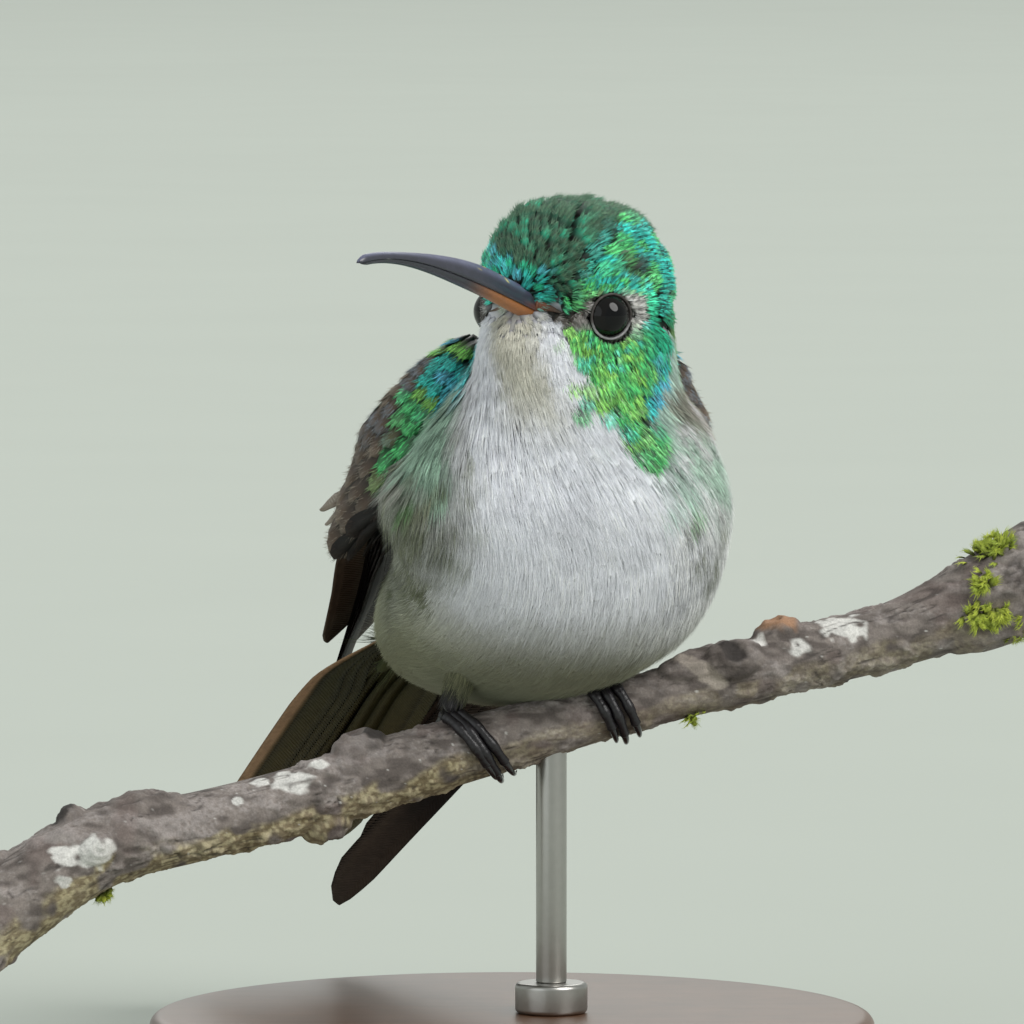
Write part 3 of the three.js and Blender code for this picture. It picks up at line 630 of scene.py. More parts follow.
    # The back from the nape to the tail.
    mantle = onset(side, 104, 20) * fade(t, 9.2, 1.2)
    bronze = blend(BRONZE, blend(EMERALD * 0.7, COPPER, (cell > 0.6) * 1.0), big)
    bronze = blend(OLIVE * 0.7, mix(bronze, LIME, 0.1), onset(t, 2.2, 1.4))
    layers = put_on((DARK, bronze * 0.6, bronze), mantle)
    gloss = np.maximum(gloss, mantle * 0.9 * onset(t, 2.2, 1.4))
    contrast = mix(contrast, 0.35, mantle)
    return layers, gloss, contrast


# %% [markdown]
# ## Finishes
# Plumage, horn, bark, wood and steel share two effects, so each is a node group that is built
# once: `Mottle` varies a painted colour with two sizes of soft noise, and `Grain` gives a fine
# stretched relief. Both read Object coordinates, which stay with the piece from every side.

# %% Node groups


def new_group(name, inputs, outputs):
    """An empty shader group with named number and colour sockets."""
    tree = bpy.data.node_groups.new(name, "ShaderNodeTree")
    for label, kind, value in inputs:
        socket = tree.interface.new_socket(label, in_out="INPUT", socket_type=kind)
        socket.default_value = value
    for label, kind in outputs:
        tree.interface.new_socket(label, in_out="OUTPUT", socket_type=kind)
    return tree, tree.nodes.new("NodeGroupInput"), tree.nodes.new("NodeGroupOutput")


def add(tree, kind, values=None, **settings):
    """A node with its settings, and with the named or numbered inputs in values."""
    made = tree.nodes.new(kind)
    for key, value in settings.items():
        setattr(made, key, value)
    for key, value in (values or {}).items():
        if isinstance(value, bpy.types.NodeSocket):
            tree.links.new(value, made.inputs[key])
        else:
            made.inputs[key].default_value = value
    return made


def maths(tree, operation, a, b=0.0):
    """One sum on numbers or sockets."""
    return add(tree, "ShaderNodeMath", {0: a, 1: b}, operation=operation).outputs[0]


FLOAT, COLOUR = "NodeSocketFloat", "NodeSocketColor"

mottle, m_in, m_out = new_group(
    "Mottle",
    [("Color", COLOUR, (1, 1, 1, 1)), ("Size", FLOAT, 400.0), ("Depth", FLOAT, 0.25)],
    [("Color", COLOUR), ("Mask", FLOAT)],
)
place = add(mottle, "ShaderNodeTexCoord").outputs["Object"]
size = m_in.outputs["Size"]
broad = add(mottle, "ShaderNodeTexNoise", {"Vector": place, "Scale": size, "Detail": 3.0})
fine_size = maths(mottle, "MULTIPLY", size, 6.0)
fine = add(mottle, "ShaderNodeTexNoise", {"Vector": place, "Scale": fine_size, "Detail": 2.0})
both = maths(mottle, "ADD", broad.outputs["Fac"], fine.outputs["Fac"])
swing = maths(mottle, "MULTIPLY", maths(mottle, "SUBTRACT", both, 1.0), m_in.outputs["Depth"])
gain = maths(mottle, "ADD", maths(mottle, "MULTIPLY", swing, 2.0), 1.0)
scaled = add(mottle, "ShaderNodeVectorMath", {0: m_in.outputs["Color"]}, operation="SCALE")
mottle.links.new(gain, scaled.inputs["Scale"])
mottle.links.new(scaled.outputs[0], m_out.inputs["Color"])
mottle.links.new(both, m_out.inputs["Mask"])

grain, g_in, g_out = new_group(
    "Grain",
    [("Size", FLOAT, 900.0), ("Stretch", FLOAT, 1.0)],
    [("Height", FLOAT)],
)
place = add(grain, "ShaderNodeTexCoord").outputs["Object"]
squeeze = add(grain, "ShaderNodeCombineXYZ", {0: g_in.outputs["Stretch"], 1: 1.0, 2: 1.0})
pulled = add(grain, "ShaderNodeVectorMath", {0: place, 1: squeeze.outputs[0]}, operation="MULTIPLY")
ripple = add(
    grain, "ShaderNodeTexNoise",
    {"Vector": pulled.outputs[0], "Scale": g_in.outputs["Size"], "Detail": 4.0},
)
grain.links.new(ripple.outputs["Fac"], g_out.inputs["Height"])
print("node groups:", [g.name for g in bpy.data.node_groups])

# %% Material maker


def finish(name, roughness=0.6, metallic=0.0, size=400.0, depth=0.25, bump=0.0, bump_size=900.0,
           stretch=1.0, tint=None, gloss=None, **sockets):
    """A Principled finish on the Tint attribute or one colour, mottled, with fine relief.

    gloss = (roughness, metallic) are the values where the Gloss attribute is 1. They blend
    with the plain values where it is less.
    """
    material = bpy.data.materials.new(name)
    material.use_nodes = True
    tree = material.node_tree
    shader = tree.nodes["Principled BSDF"]
    shader.inputs["Roughness"].default_value = roughness
    shader.inputs["Metallic"].default_value = metallic
    for key, value in sockets.items():
        shader.inputs[key.replace("_", " ")].default_value = value
    spots = add(tree, "ShaderNodeGroup", node_tree=mottle)
    spots.inputs["Size"].default_value = size
    spots.inputs["Depth"].default_value = depth
    if tint is None:
        paint = add(tree, "ShaderNodeAttribute", attribute_name="Tint")
        tree.links.new(paint.outputs["Color"], spots.inputs["Color"])
    else:
        spots.inputs["Color"].default_value = (*tint, 1)
    tree.links.new(spots.outputs["Color"], shader.inputs["Base Color"])
    if gloss:
        shine = add(tree, "ShaderNodeAttribute", attribute_name="Gloss").outputs["Fac"]
        plain_values = {"Roughness": roughness, "Metallic": metallic}
        for (key, plain), bright in zip(plain_values.items(), gloss):
            ramp = add(tree, "ShaderNodeMapRange", {"Value": shine, "To Min": plain, "To Max": bright})
            tree.links.new(ramp.outputs[0], shader.inputs[key])
    if bump:
        relief = add(tree, "ShaderNodeGroup", node_tree=grain)
        relief.inputs["Size"].default_value = bump_size
        relief.inputs["Stretch"].default_value = stretch
        raised = add(tree, "ShaderNodeBump", {"Height": relief.outputs[0], "Distance": bump * MM})
        tree.links.new(raised.outputs[0], shader.inputs["Normal"])
    return material


def dress(piece, slot, material, *nodes):
    """Gives a piece its finish and hides the plain solids that it stands for; slot is not used."""
    piece.data.materials.append(material)
    if nodes:
        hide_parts(*nodes)


plumage = finish("plumage", roughness=0.72, size=900, depth=0.12, gloss=(0.36, 0.25))

# %% [markdown]
# ## Skin
# Under the feathers lies one closed skin for the whole of the head, neck and trunk, so nothing
# shows a seam. It is the plumage surface drawn inwards by the depth of the coat, and it carries
# the same markings, darker, because it is what shows deep between the feathers.

# %% Skin
SKIN_ROWS, SKIN_COLUMNS = 190, 150
skin_t, skin_phi = grid(0.16, CROWN - 0.12, SKIN_ROWS, SKIN_COLUMNS)
skin_p, skin_n, _, _ = plumage_frame(skin_t, skin_phi)
skin_depth = coat_depth(skin_p, skin_t) * smooth((CROWN + 0.4 - skin_t) / 0.5)
layers, skin_gloss, _ = markings(skin_p, skin_t, skin_phi)
skin = tube(
    "skin",
    skin_p - skin_n * skin_depth[..., None],
    colour=mix(layers[0], layers[1], 0.5),
    gloss=skin_gloss * 0.4,
)
dress(skin, "white_feathers", plumage, "rump", "belly", "breast", "neck", "head")

# %% [markdown]
# ## One feather
# A small body feather is a thin leaf that lies along the body with a fringe of loose barbs.
# Here the leaf is a closed shell of four-cornered rings, and each barb is a long thin needle.
# A whole patch of coat is worked out in one go: every leaf and every needle is drawn flat, in
# millimetres across and along its own feather, and then wrapped onto the body with a parabola
# that has the body's own curvature there. Each feather climbs from its root to its tip, so a
# row lies on the row behind it, as roof tiles do.

# %% Feather shapes
LEAF_ALONG = np.array([0.0, 0.25, 0.5, 0.72, 0.9])
LEAF_WIDE = np.array([0.5, 0.86, 1.0, 0.92, 0.6])
LEAF_THICK = 0.045
LEAF_POINTS = 4 * len(LEAF_ALONG) + 1  # four round each ring, and the tip
PATCH = 0.003  # width of one feather on the unwrapped map

leaf_x = np.append((LEAF_WIDE[:, None] * [-1, 0, 1, 0]).ravel(), 0)
leaf_y = np.append(np.repeat(LEAF_ALONG, 4), 1)
leaf_z = np.append(np.tile([-0.4, 1, -0.4, -1.4], 5), 0)
leaf_uv = np.stack([leaf_x * 0.5, leaf_y - 0.5], -1)
leaf_uv[:20] += np.tile([[0, 0], [0.04, 0.05], [0, 0], [-0.04, -0.05]], (5, 1))
ring, spot = np.meshgrid(np.arange(4) * 4, np.arange(4), indexing="ij")
after = (spot + 1) % 4
leaf_quads = np.stack([ring + spot, ring + after, ring + 4 + after, ring + 4 + spot], -1)
leaf_quads = np.concatenate([leaf_quads.reshape(-1, 4), [[3, 2, 1, 0]]])
leaf_tips = np.stack([16 + np.arange(4), 16 + (np.arange(4) + 1) % 4, np.full(4, 20)], -1)
leaf_points = np.stack([leaf_x, leaf_y, leaf_z * 0.1], -1)
leaf_quads, leaf_tips = outward(leaf_points, leaf_quads, leaf_tips)

needle_faces = np.array([[0, 1, 2], [0, 3, 1], [1, 3, 2], [2, 3, 0]])
needle_shape = np.array([[-1, 0, 0], [1, 0, 0], [0, 0, 0.6], [0, 20, 0.2]], float)
(needle_faces,) = outward(needle_shape, needle_faces)
needle_uv = np.array([[-0.3, -0.1], [0.3, -0.1], [0.0, 0.12], [0.05, 0.45]])


# %% A feather's seat on a surface


def walk(surface, t, phi, way, reach):
    """The t and phi reached by going a distance along the surface: way in terms of both slopes."""
    _, _, by_t, by_phi = surface(t, phi)
    tt, tp, pp = dot(by_t, by_t), dot(by_t, by_phi), dot(by_phi, by_phi)
    det = np.maximum(tt * pp - tp * tp, 1e-6)
    a, b = dot(by_t, way), dot(by_phi, way)
    step_t = ((a * pp - b * tp) / det)[:, 0] * reach
    step_phi = ((b * tt - a * tp) / det)[:, 0] * reach
    return t + np.clip(step_t, -1.5, 1.5), phi + np.clip(step_phi, -0.9, 0.9)


def settle(surface, t, phi, lie, length, width):
    """Where a feather sits: its place, the directions across, along and out, and two bends.

    A bend is twice the drop of the surface below its tangent plane, over the square of the
    distance, measured at the feather's own reach.
    """
    p, n, _, _ = surface(t, phi)
    d = square_to(lie, n)
    s = np.cross(d, n)

    def bend(way, reach):
        """Twice the drop at a reach along one way, over the reach squared."""
        q = surface(*walk(surface, t, phi, way, reach))[0]
        drop = -dot(q - p, n)[:, 0]
        return np.clip(2 * drop / reach**2, -0.05, 0.32)

    return {"p": p, "n": n, "d": d, "s": s, "along": bend(d, length * 0.8), "across": bend(s, width)}


# %% Coat maker
# Rows: a firm scale, a glittering scale with loose bright barbs, and a soft hairy feather.
# Columns: where the first and the last barb start, their reach in millimetres and as a share of
# the feather, their thickness, how far they splay, the vane's width, and the lift of their tips.
STYLES = np.array([
    [0.60, 0.99, 0.52, 0.0, 0.048, 0.45, 1.00, 0.16],
    [0.35, 0.97, 0.62, 0.0, 0.078, 0.26, 0.94, 0.10],
    [0.08, 0.70, 0.00, 0.66, 0.060, 0.13, 0.66, 0.10],
])
STRIPE = 0.3  # spacing of the fine light and dark lines that the barbs draw
TRACT_SEED, COVERT_SEED, MOSS_SEED, LEG_SEED = 100, 140, 170, 180


def coat(name, sites, length, width, style, layers, gloss, contrast, depth, where, barbs, seed,
         stand=0.0):
    """All the feathers of one patch as one mesh.

    style holds each feather's share of the three rows of STYLES, layers the colours of root,
    vane and fringe, contrast how much barbs differ in brightness, depth how far below the
    surface the root lies, where each root's place on the unwrapped skin, and stand how high the
    tips rise over the surface.
    """
    count = len(length)
    draw = np.random.default_rng(seed)
    first, last, reach_mm, reach_share, thick_mm, splay, slim, lift_mm = (style @ STYLES).T[..., None]
    soft = style[:, 2:]
    tip = stand + 0.05 * draw.normal(size=(count, 1)) * mix(1, 0.4, soft) - soft * 0.16 * depth[:, None]
    low = -depth[:, None]

    def wrap(x, y, h):
        """p + across x + along y + out (h - bends x squared and y squared, halved)."""
        s, d, n, p = (sites[k][:, None] for k in ("s", "d", "n", "p"))
        fall = (sites["along"][:, None] * y**2 + sites["across"][:, None] * x**2) / 2
        return p + s * x[..., None] + d * y[..., None] + n * (h - fall)[..., None]

    def climb(share):
        """The height at a share of the feather, which rises fast at first and slower later."""
        return mix(low, tip, np.clip(share, 0, 1.2) ** 0.75)

    size = length[:, None]
    wide = width[:, None] * slim
    cup = -0.10 * wide * leaf_x**2
    short = 1 - 0.22 * soft
    leaf = wrap(wide * leaf_x, size * short * leaf_y, climb(leaf_y * short) + leaf_z * LEAF_THICK + cup)
    tone = 1 + 0.4 * contrast[:, None, None] * draw.uniform(-1, 1, (count, 1, 1))
    share = leaf_y[:, None]
    root, vane, fringe = (c[:, None] for c in layers)
    h = soft[..., None]
    paint = mix(root, vane, smooth((share - mix(0.36, 0.15, h)) / 0.3))
    border = smooth((share - mix(0.80, 0.35, h)) / mix(0.14, 0.4, h))
    leaf_paint = mix(paint, fringe, border * mix(0.35, 0.8, h)) * tone

    # Barbs leave the vane forwards and a little outwards, the outer ones at the wider angle.
    u = draw.uniform(-1, 1, (count, barbs))
    start = mix(first, last, draw.uniform(0, 1, (count, barbs)))
    edge = np.interp(start, np.append(LEAF_ALONG, 1), np.append(LEAF_WIDE, 0.2))
    x0 = u * edge * 0.95 * mix(wide, width[:, None], soft)
    y0 = start * size
    turn = u * splay + draw.normal(0, 0.08, (count, barbs))
    reach = (reach_mm + reach_share * size) * draw.uniform(0.65, 1.2, (count, barbs))
    reach = np.minimum(reach, size * 0.75)
    thick = thick_mm * draw.uniform(0.75, 1.15, (count, barbs))
    c, sn = np.cos(turn), np.sin(turn)
    base = climb(start) + LEAF_THICK * 0.6 - 0.10 * x0**2 / width[:, None]
    loose = draw.uniform(0, 1, (count, barbs)) ** 3
    peak = climb(np.minimum((y0 + reach) / size, 1)) + lift_mm * 2.4 * loose
    xs = np.stack([x0 - c * thick / 2, x0 + c * thick / 2, x0, x0 + sn * reach], -1)
    ys = np.stack([y0 + sn * thick / 2, y0 - sn * thick / 2, y0, y0 + c * reach], -1)
    hs = np.stack([base, base, base + thick * 0.35, peak], -1)
    needles = wrap(xs.reshape(count, -1), ys.reshape(count, -1), hs.reshape(count, -1))
    phase = draw.uniform(0, 2 * np.pi, (count, 1))
    ruled = np.sin(2 * np.pi * x0 / STRIPE + phase)
    bright = 1 + contrast[:, None] * (0.75 * ruled + 0.5 * draw.uniform(-1, 1, (count, barbs)))
    far = onset(np.stack([start] * 3 + [start + reach / size], -1)[..., None], 0.35, 0.35)
    firm = style[:, None, None, :1]
    outer = far * (1 - 0.15 * firm) + 0.5 * h[..., None] + 0.3 - 0.5 * firm
    ink = mix(vane[:, None], fringe[:, None], np.clip(outer, 0, 1))
    ink = ink * np.minimum(bright, 1.35)[..., None, None] * tone[:, None]

    points = np.concatenate([leaf.reshape(-1, 3), needles.reshape(-1, 3)])
    colours = np.concatenate([leaf_paint.reshape(-1, 3), ink.reshape(-1, 3)])
    colours = np.clip(colours, 0, 1)
    shine = np.concatenate([np.repeat(gloss, LEAF_POINTS), np.repeat(gloss, barbs * 4)])
    leaf_at = (np.arange(count) * LEAF_POINTS)[:, None, None]
    needle_at = (count * LEAF_POINTS + np.arange(count * barbs) * 4)[:, None, None]
    quads = (leaf_at + leaf_quads).reshape(-1, 4)
    tips = (leaf_at + leaf_tips).reshape(-1, 3)
    spikes = (needle_at + needle_faces).reshape(-1, 3)
    least, most = where.min(0), where.max(0)
    home = 0.004 + 0.992 * (where - least) / (most - least)
    leaf_map = home[:, None] + PATCH * leaf_uv
    needle_map = np.repeat(home, barbs, 0)[:, None] + PATCH * needle_uv
    corners = [leaf_map[:, leaf_quads], leaf_map[:, leaf_tips], needle_map[:, needle_faces]]
    groups, flat = [quads, tips, spikes], [False, False, True]
    return put(name, points, groups, colours, shine, {"OFBake": corners}, flat)


# %% [markdown]
# ## Where the feathers grow
# On the head the feathers part round the bill, so their roots stand in rings round the bill's
# axis and point away from it, smallest on the face. From the neck down they stand in rows round
# the spine and point to the tail. Every other place in a row is shifted by half a step, and a
# little chance moves each one, as on a real bird.

# %% Roots on the head
draw = np.random.default_rng(11)
CLOUD_SIDE = 260  # points each way in the net where a direction's place on the head is looked up
cloud_net = grid(6.9, CROWN - 0.03, CLOUD_SIDE, CLOUD_SIDE)
cloud_t, cloud_phi = (values.T.ravel() for values in cloud_net)
cloud = plumage_point(cloud_t, cloud_phi)
cloud_way = unit(cloud - HEAD).astype(np.float32)


def nearest(way):
    """The number of the net's point that lies nearest to each direction."""
    return np.argmax(way.astype(np.float32) @ cloud_way.T, axis=1)


def staggered(n, row, chance):
    """Angles evenly round a ring, every other ring half a step on, each moved a little."""
    return (np.arange(n) + 0.5 * (row % 2) + draw.uniform(-chance, chance, n)) * 2 * np.pi / n


BILL_BASE = on_head(7.75, 0.0, -0.25)  # where the bill leaves the face
axis = unit(BILL_BASE - HEAD)
axis_up = square_to(UP, axis)
axis_side = np.cross(axis, axis_up)
SKULL = 6.6  # mean radius of the head's plumage
FIRST_RING, LAST_RING = 5.5, 172  # degrees from the bill's axis

head_rings = []
angle, ring_number = FIRST_RING, 0
while angle < LAST_RING:
    open_out = smooth(np.array((angle - 16) / 50))
    pace, wide = mix(0.46, 0.98, open_out), mix(0.50, 0.98, open_out)
    n = max(6, int(2 * np.pi * SKULL * np.sin(np.radians(angle)) / wide))
    psi = staggered(n, ring_number, 0.28)
    polar = np.radians(angle + draw.uniform(-1.9, 1.9, n) * open_out)[:, None]
    around = axis_up * np.cos(psi)[:, None] + axis_side * np.sin(psi)[:, None]
    way = axis * np.cos(polar) + around * np.sin(polar)
    where = np.stack([psi / (2 * np.pi) % 1, polar[:, 0] / np.pi], -1)
    head_rings.append((nearest(way), np.full(n, pace), np.full(n, wide), where))
    angle += np.degrees(pace / SKULL)
    ring_number += 1


def head_set(rings):
    """Roots as named arrays, from each ring's points in the net, paces, widths and map places."""
    found, pace, wide, where = (np.concatenate(parts) for parts in zip(*rings))
    t, phi = cloud_t[found], cloud_phi[found]
    return {"t": t, "phi": phi, "pace": pace, "wide": wide, "where": where}


head_roots = head_set(head_rings)
NECK_LINE = 7.75  # station where the rings of the head meet the rows of the body
keep = head_roots["t"] > NECK_LINE - 0.3
head_roots = {k: v[keep] for k, v in head_roots.items()}
print("roots on the head:", len(head_roots["t"]))

# %% Roots round the eyes
EYE_BARE, EYE_DOWNY = 1.5, 2.9  # the bare opening, and how far the tiny feathers reach
eye_rings = []
for side, eye in EYES.items():
    gaze = GAZES[side]
    rise_way = square_to(UP, gaze)
    side_way = np.cross(gaze, rise_way)
    r, ring_number = EYE_BARE, 0
    while r < EYE_DOWNY:
        pace = mix(0.26, 0.42, (r - EYE_BARE) / (EYE_DOWNY - EYE_BARE))
        n = int(2 * np.pi * r / (pace * 1.05))
        psi = staggered(n, ring_number, 0.2)
        around = rise_way * np.cos(psi)[:, None] + side_way * np.sin(psi)[:, None]
        way = unit(eye + gaze * 0.7 + r * around - HEAD)
        polar = np.arccos(way @ axis)
        turned = np.arctan2(way @ axis_side, way @ axis_up)
        where = np.stack([turned / (2 * np.pi) % 1, polar / np.pi], -1)
        eye_rings.append((nearest(way), np.full(n, pace), np.full(n, pace * 1.1), where))
        r += pace
        ring_number += 1
eye_roots = head_set(eye_rings)
print("roots round the eyes:", len(eye_roots["t"]))

# %% Gape line
# The corner of the mouth runs back over the face from each side of the bill: turn from the
# bill's axis in degrees, height against the bill's, and half width of the bare strip.
GAPE = np.array([[8.0, 0.32, 0.42], [13.0, 0.22, 0.40], [19.0, 0.06, 0.26], [27.0, -0.15, 0.08]])
GAPE_RINGS = 50
gape_lines = {}
for side, sign in EYE_TURN.items():
    row = spline(GAPE, np.linspace(0, 3, GAPE_RINGS))
    a = np.radians(row[:, :1])
    level = head_forward * np.cos(a) + head_left * sign * np.sin(a)
    way = unit(level + UP * (row[:, 1:2] - 0.85) / 6.8)
    radius = np.linalg.norm(cloud[nearest(way)] - HEAD, axis=-1)
    radius = np.convolve(np.pad(radius, 4, mode="edge"), np.ones(9) / 9, "valid")
    gape_lines[side] = (HEAD + way * (radius[:, None] - 0.12), row[:, 2], way)

# %% Roots on the body
ROW_PACE, ROW_WIDE = 1.12, 1.10
rows_t, rows_phi, rows_fine = [], [], []
t, row = NECK_LINE + 0.2, 0
while t > 0.22:
    fine = float(mix(1.0, 0.62, smooth(np.array((t - 6.2) / 1.3))))
    step = ROW_PACE * fine / np.linalg.norm(plumage_frame(np.array([t]), np.array([0.0]))[2])
    circle = plumage_point(t, np.linspace(0, 2 * np.pi, 90))
    girth = np.linalg.norm(np.diff(circle, axis=0), axis=1).sum()
    n = max(5, int(girth / (ROW_WIDE * fine)))
    phi = staggered(n, row, 0.3)
    at = t + draw.uniform(-0.35, 0.35, n) * step
    local = np.linalg.norm(plumage_frame(at, phi)[2], axis=-1) * step
    skip = np.maximum(1, np.round(ROW_PACE * fine * 0.9 / local)).astype(int)
    chosen = row % skip == 0
    rows_t.append(at[chosen])
    rows_phi.append(phi[chosen])
    rows_fine.append(np.full(chosen.sum(), fine))
    t -= step
    row += 1
body_t, body_phi = np.concatenate(rows_t), np.concatenate(rows_phi) % (2 * np.pi)
body_roots = {
    "t": body_t,
    "phi": body_phi,
    "pace": ROW_PACE * np.concatenate(rows_fine),
    "wide": ROW_WIDE * np.concatenate(rows_fine),
    "where": np.stack([body_phi / (2 * np.pi), body_t / CROWN], -1),
}
print("roots on the body:", len(body_t), "in", row, "rows")

# %% Lie, size and colour of every feather
# Two short lines inside the roots of the wings. Body feathers whose roots are nearer to them
# than ARM_CLEAR, in millimetres, would poke through, so they are left out.
ARM_LINES = (
    blend(np.array([-6.6, 1.6, 48.2]), np.array([-9.2, 4.0, 42.4]), np.linspace(0, 1, 9)),
    blend(np.array([11.2, 6.0, 47.4]), np.array([11.4, 10.0, 41.5]), np.linspace(0, 1, 9)),
)
ARM_CLEAR = 2.3


def lie_of(t, phi):
    """Away from the bill on the skull, down the spine on the trunk, blended at the nape."""
    p, n, by_t, _ = plumage_frame(t, phi)
    away = square_to(p - (HEAD + axis * 7.4), n)
    down = unit(-by_t)
    lie = unit(blend(down, away, onset(t, 7.5, 1.3)))
    for side, eye in EYES.items():
        gap = p - eye
        gap = gap - GAZES[side] * dot(gap, GAZES[side])
        far = np.linalg.norm(gap, axis=-1, keepdims=True)
        beside = np.linalg.norm(p - eye, axis=-1, keepdims=True) < 4.6
        lie = unit(lie + unit(gap) * 1.1 * fade(far, 3.6, 1.6) * beside)
    return lie


def grow(roots, tiny=False):
    """Sites, sizes, styles, colours and gloss for a set of roots."""
    t, phi = roots["t"], roots["phi"]
    lie = lie_of(t, phi)
    trunk = fade(t, 8.1, 1.2)
    p = plumage_point(t, phi)
    length = roots["pace"] * mix(2.15, 3.0, trunk) * draw.uniform(0.9, 1.1, len(t))
    length = length * (1 + 0.35 * fade(p[:, 2], 32.0, 2.0) * draw.uniform(0.3, 1.0, len(t)))
    width = roots["wide"] * mix(0.74, 0.86, trunk)
    far, _, _ = near_eye(p)
    keep = (far > EYE_DOWNY - 0.15) | tiny
    for line, wide, _ in gape_lines.values():
        gap = np.linalg.norm(p[:, None] - line, axis=-1) - wide * 0.8
        keep &= gap.min(1) > 0.02
    seen = walk(plumage_frame, t, phi, lie, length * 0.72)
    layers, gloss, contrast = markings(plumage_point(*seen), *seen)
    for arm in ARM_LINES:
        keep &= np.linalg.norm(p[:, None] - arm, axis=-1).min(1) > ARM_CLEAR
    chin = smooth((HEAD[2] - 1.1 - p[:, 2]) / 0.5)
    soft = np.clip(np.maximum(trunk, chin) * (1 - 0.9 * onset(gloss, 0.1, 0.5)), 0, 1)
    glitter = (1 - soft) * onset(gloss, 0.45, 0.35)
    style = np.stack([1 - soft - glitter, glitter, soft], -1)
    depth = np.minimum(coat_depth(p, t) * 0.85, mix(0.24, 0.18, soft) * length)
    picked = {
        "t": t, "phi": phi, "lie": lie, "length": length, "width": width, "style": style,
        "gloss": gloss, "where": roots["where"], "p": p, "contrast": contrast, "depth": depth,
        "root": layers[0], "vane": layers[1], "fringe": layers[2],
    }
    return {k: v[keep] for k, v in picked.items()}


grown = [grow(head_roots), grow(body_roots), grow(eye_roots, True)]
print("feathers:", [len(g["t"]) for g in grown])

# %% [markdown]
# ## The coat
# The coat is laid in patches, from the crown to the rump, each one mesh with its own name. The
# parting follows the bird's feather tracts, so the seams between patches fall where the tracts
# meet, and rows overlap across them.

# %% Lay the coat
head_high = (grown[0]["p"] - HEAD)[:, 2]
head_out = ((grown[0]["p"] - HEAD) @ axis) / np.linalg.norm(grown[0]["p"] - HEAD, axis=-1)
turned = np.degrees(np.arctan2(np.sin(grown[1]["phi"]), np.cos(grown[1]["phi"])))
high = grown[1]["t"]
on_cap, on_face = head_high > 0.4, head_out >= 0.75
on_neck, on_belly = high > 5.9, high <= 3.9
on_breast, on_back = ~on_neck & ~on_belly, abs(turned) >= 95
right_half, left_half = ~on_back & (turned < 0), ~on_back & (turned >= 0)
# which set of roots, which of its feathers, how many barbs on each, and the slot
TRACTS = {
    "coat_crown": (0, on_cap & ~on_face, 90, "crown_feathers"),
    "coat_cheeks": (0, ~on_cap & ~on_face, 90, "crown_feathers"),
    "coat_face": (0, on_face, 42, "crown_feathers"),
    "coat_eye_rings": (2, np.ones(len(grown[2]["t"]), bool), 26, "crown_feathers"),
    "coat_throat": (1, on_neck & (abs(turned) < 62), 80, "white_feathers"),
    "coat_nape": (1, on_neck & (abs(turned) >= 62), 50, "crown_feathers"),
    "coat_breast_right": (1, on_breast & right_half, 170, "white_feathers"),
    "coat_breast_left": (1, on_breast & left_half, 170, "white_feathers"),
    "coat_belly_right": (1, on_belly & right_half, 140, "flank_feathers"),
    "coat_belly_left": (1, on_belly & left_half, 140, "flank_feathers"),
    "coat_back": (1, ~on_neck & on_back, 24, "mantle_feathers"),
}
for number, (name, (part, chosen, barbs, slot)) in enumerate(TRACTS.items()):
    g = {k: v[chosen] for k, v in grown[part].items()}
    sites = settle(plumage_frame, g["t"], g["phi"], g["lie"], g["length"], g["width"])
    piece = coat(
        name, sites, g["length"], g["width"], g["style"], (g["root"], g["vane"], g["fringe"]),
        g["gloss"], g["contrast"], g["depth"], g["where"], barbs, TRACT_SEED + number,
        stand=draw.uniform(0.0, 0.26, (len(sites["p"]), 1)) * (name == "coat_crown"),
    )
    dress(piece, slot, plumage)

# %% [markdown]
# ## Folded wings
# A folded wing hangs from the shoulder past the rump as a thin curved plate. The arm is one
# smooth skin under scale-like coverts. The long flight feathers are single vanes, each with its
# shaft, a narrow leading web and a broad trailing web, packed like a hand of cards: the
# outermost primary lies lowest and inmost, and the secondaries close over the others.

# %% Wing line
# centre x, y, z; half breadth; half thickness; roll of the breadth from upright, in degrees
WINGS = {
    "right": np.array([
        [-1.5, 1.4, 51.9, 2.0, 1.4, 36],
        [-5.0, 1.4, 47.9, 3.6, 2.2, 34],
        [-9.1, 2.8, 42.6, 4.4, 2.3, 30],
        [-10.4, 6.6, 39.6, 5.2, 1.8, 28],
        [-11.2, 12.6, 35.0, 4.9, 1.2, 30],
        [-12.5, 20.0, 29.6, 4.1, 0.8, 32],
        [-14.2, 27.6, 24.2, 2.8, 0.6, 32],
        [-16.6, 35.0, 19.2, 0.8, 0.4, 32],
    ]),
    "left": np.array([
        [9.2, 4.8, 51.0, 1.8, 1.4, -40],
        [11.2, 5.8, 47.6, 3.8, 2.2, -38],
        [11.6, 8.6, 43.2, 5.0, 2.0, -30],
        [10.4, 12.8, 38.4, 5.0, 1.7, -30],
        [6.8, 18.2, 32.8, 4.6, 1.2, -34],
        [-0.6, 23.8, 25.4, 3.8, 0.8, -34],
        [-7.4, 29.0, 16.8, 2.7, 0.6, -30],
        [-13.4, 33.2, 8.4, 0.8, 0.4, -26],
    ]),
}
OUTER = {"right": -1, "left": 1}  # which way along the wing's normal is away from the body
LINE_STEP = 0.05  # stations each way that give the direction of a wing or of the twig
ARM_STEP = 0.03  # step of the arm's slopes


def wing_axes(side, t):
    """Centre, direction along, direction across the breadth, outward direction and row."""
    rows = WINGS[side]
    last = len(rows) - 1
    t = np.clip(np.asarray(t, float), 0, last)
    row = spline(rows, t)
    along = course(rows[:, :3], t, LINE_STEP)
    rise = square_to(UP, along)
    roll = np.radians(row[..., 5:6])
    broad = rise * np.cos(roll) + np.cross(along, rise) * np.sin(roll)
    out = np.cross(along, broad) * OUTER[side]
    return row[..., :3], along, broad, out, row


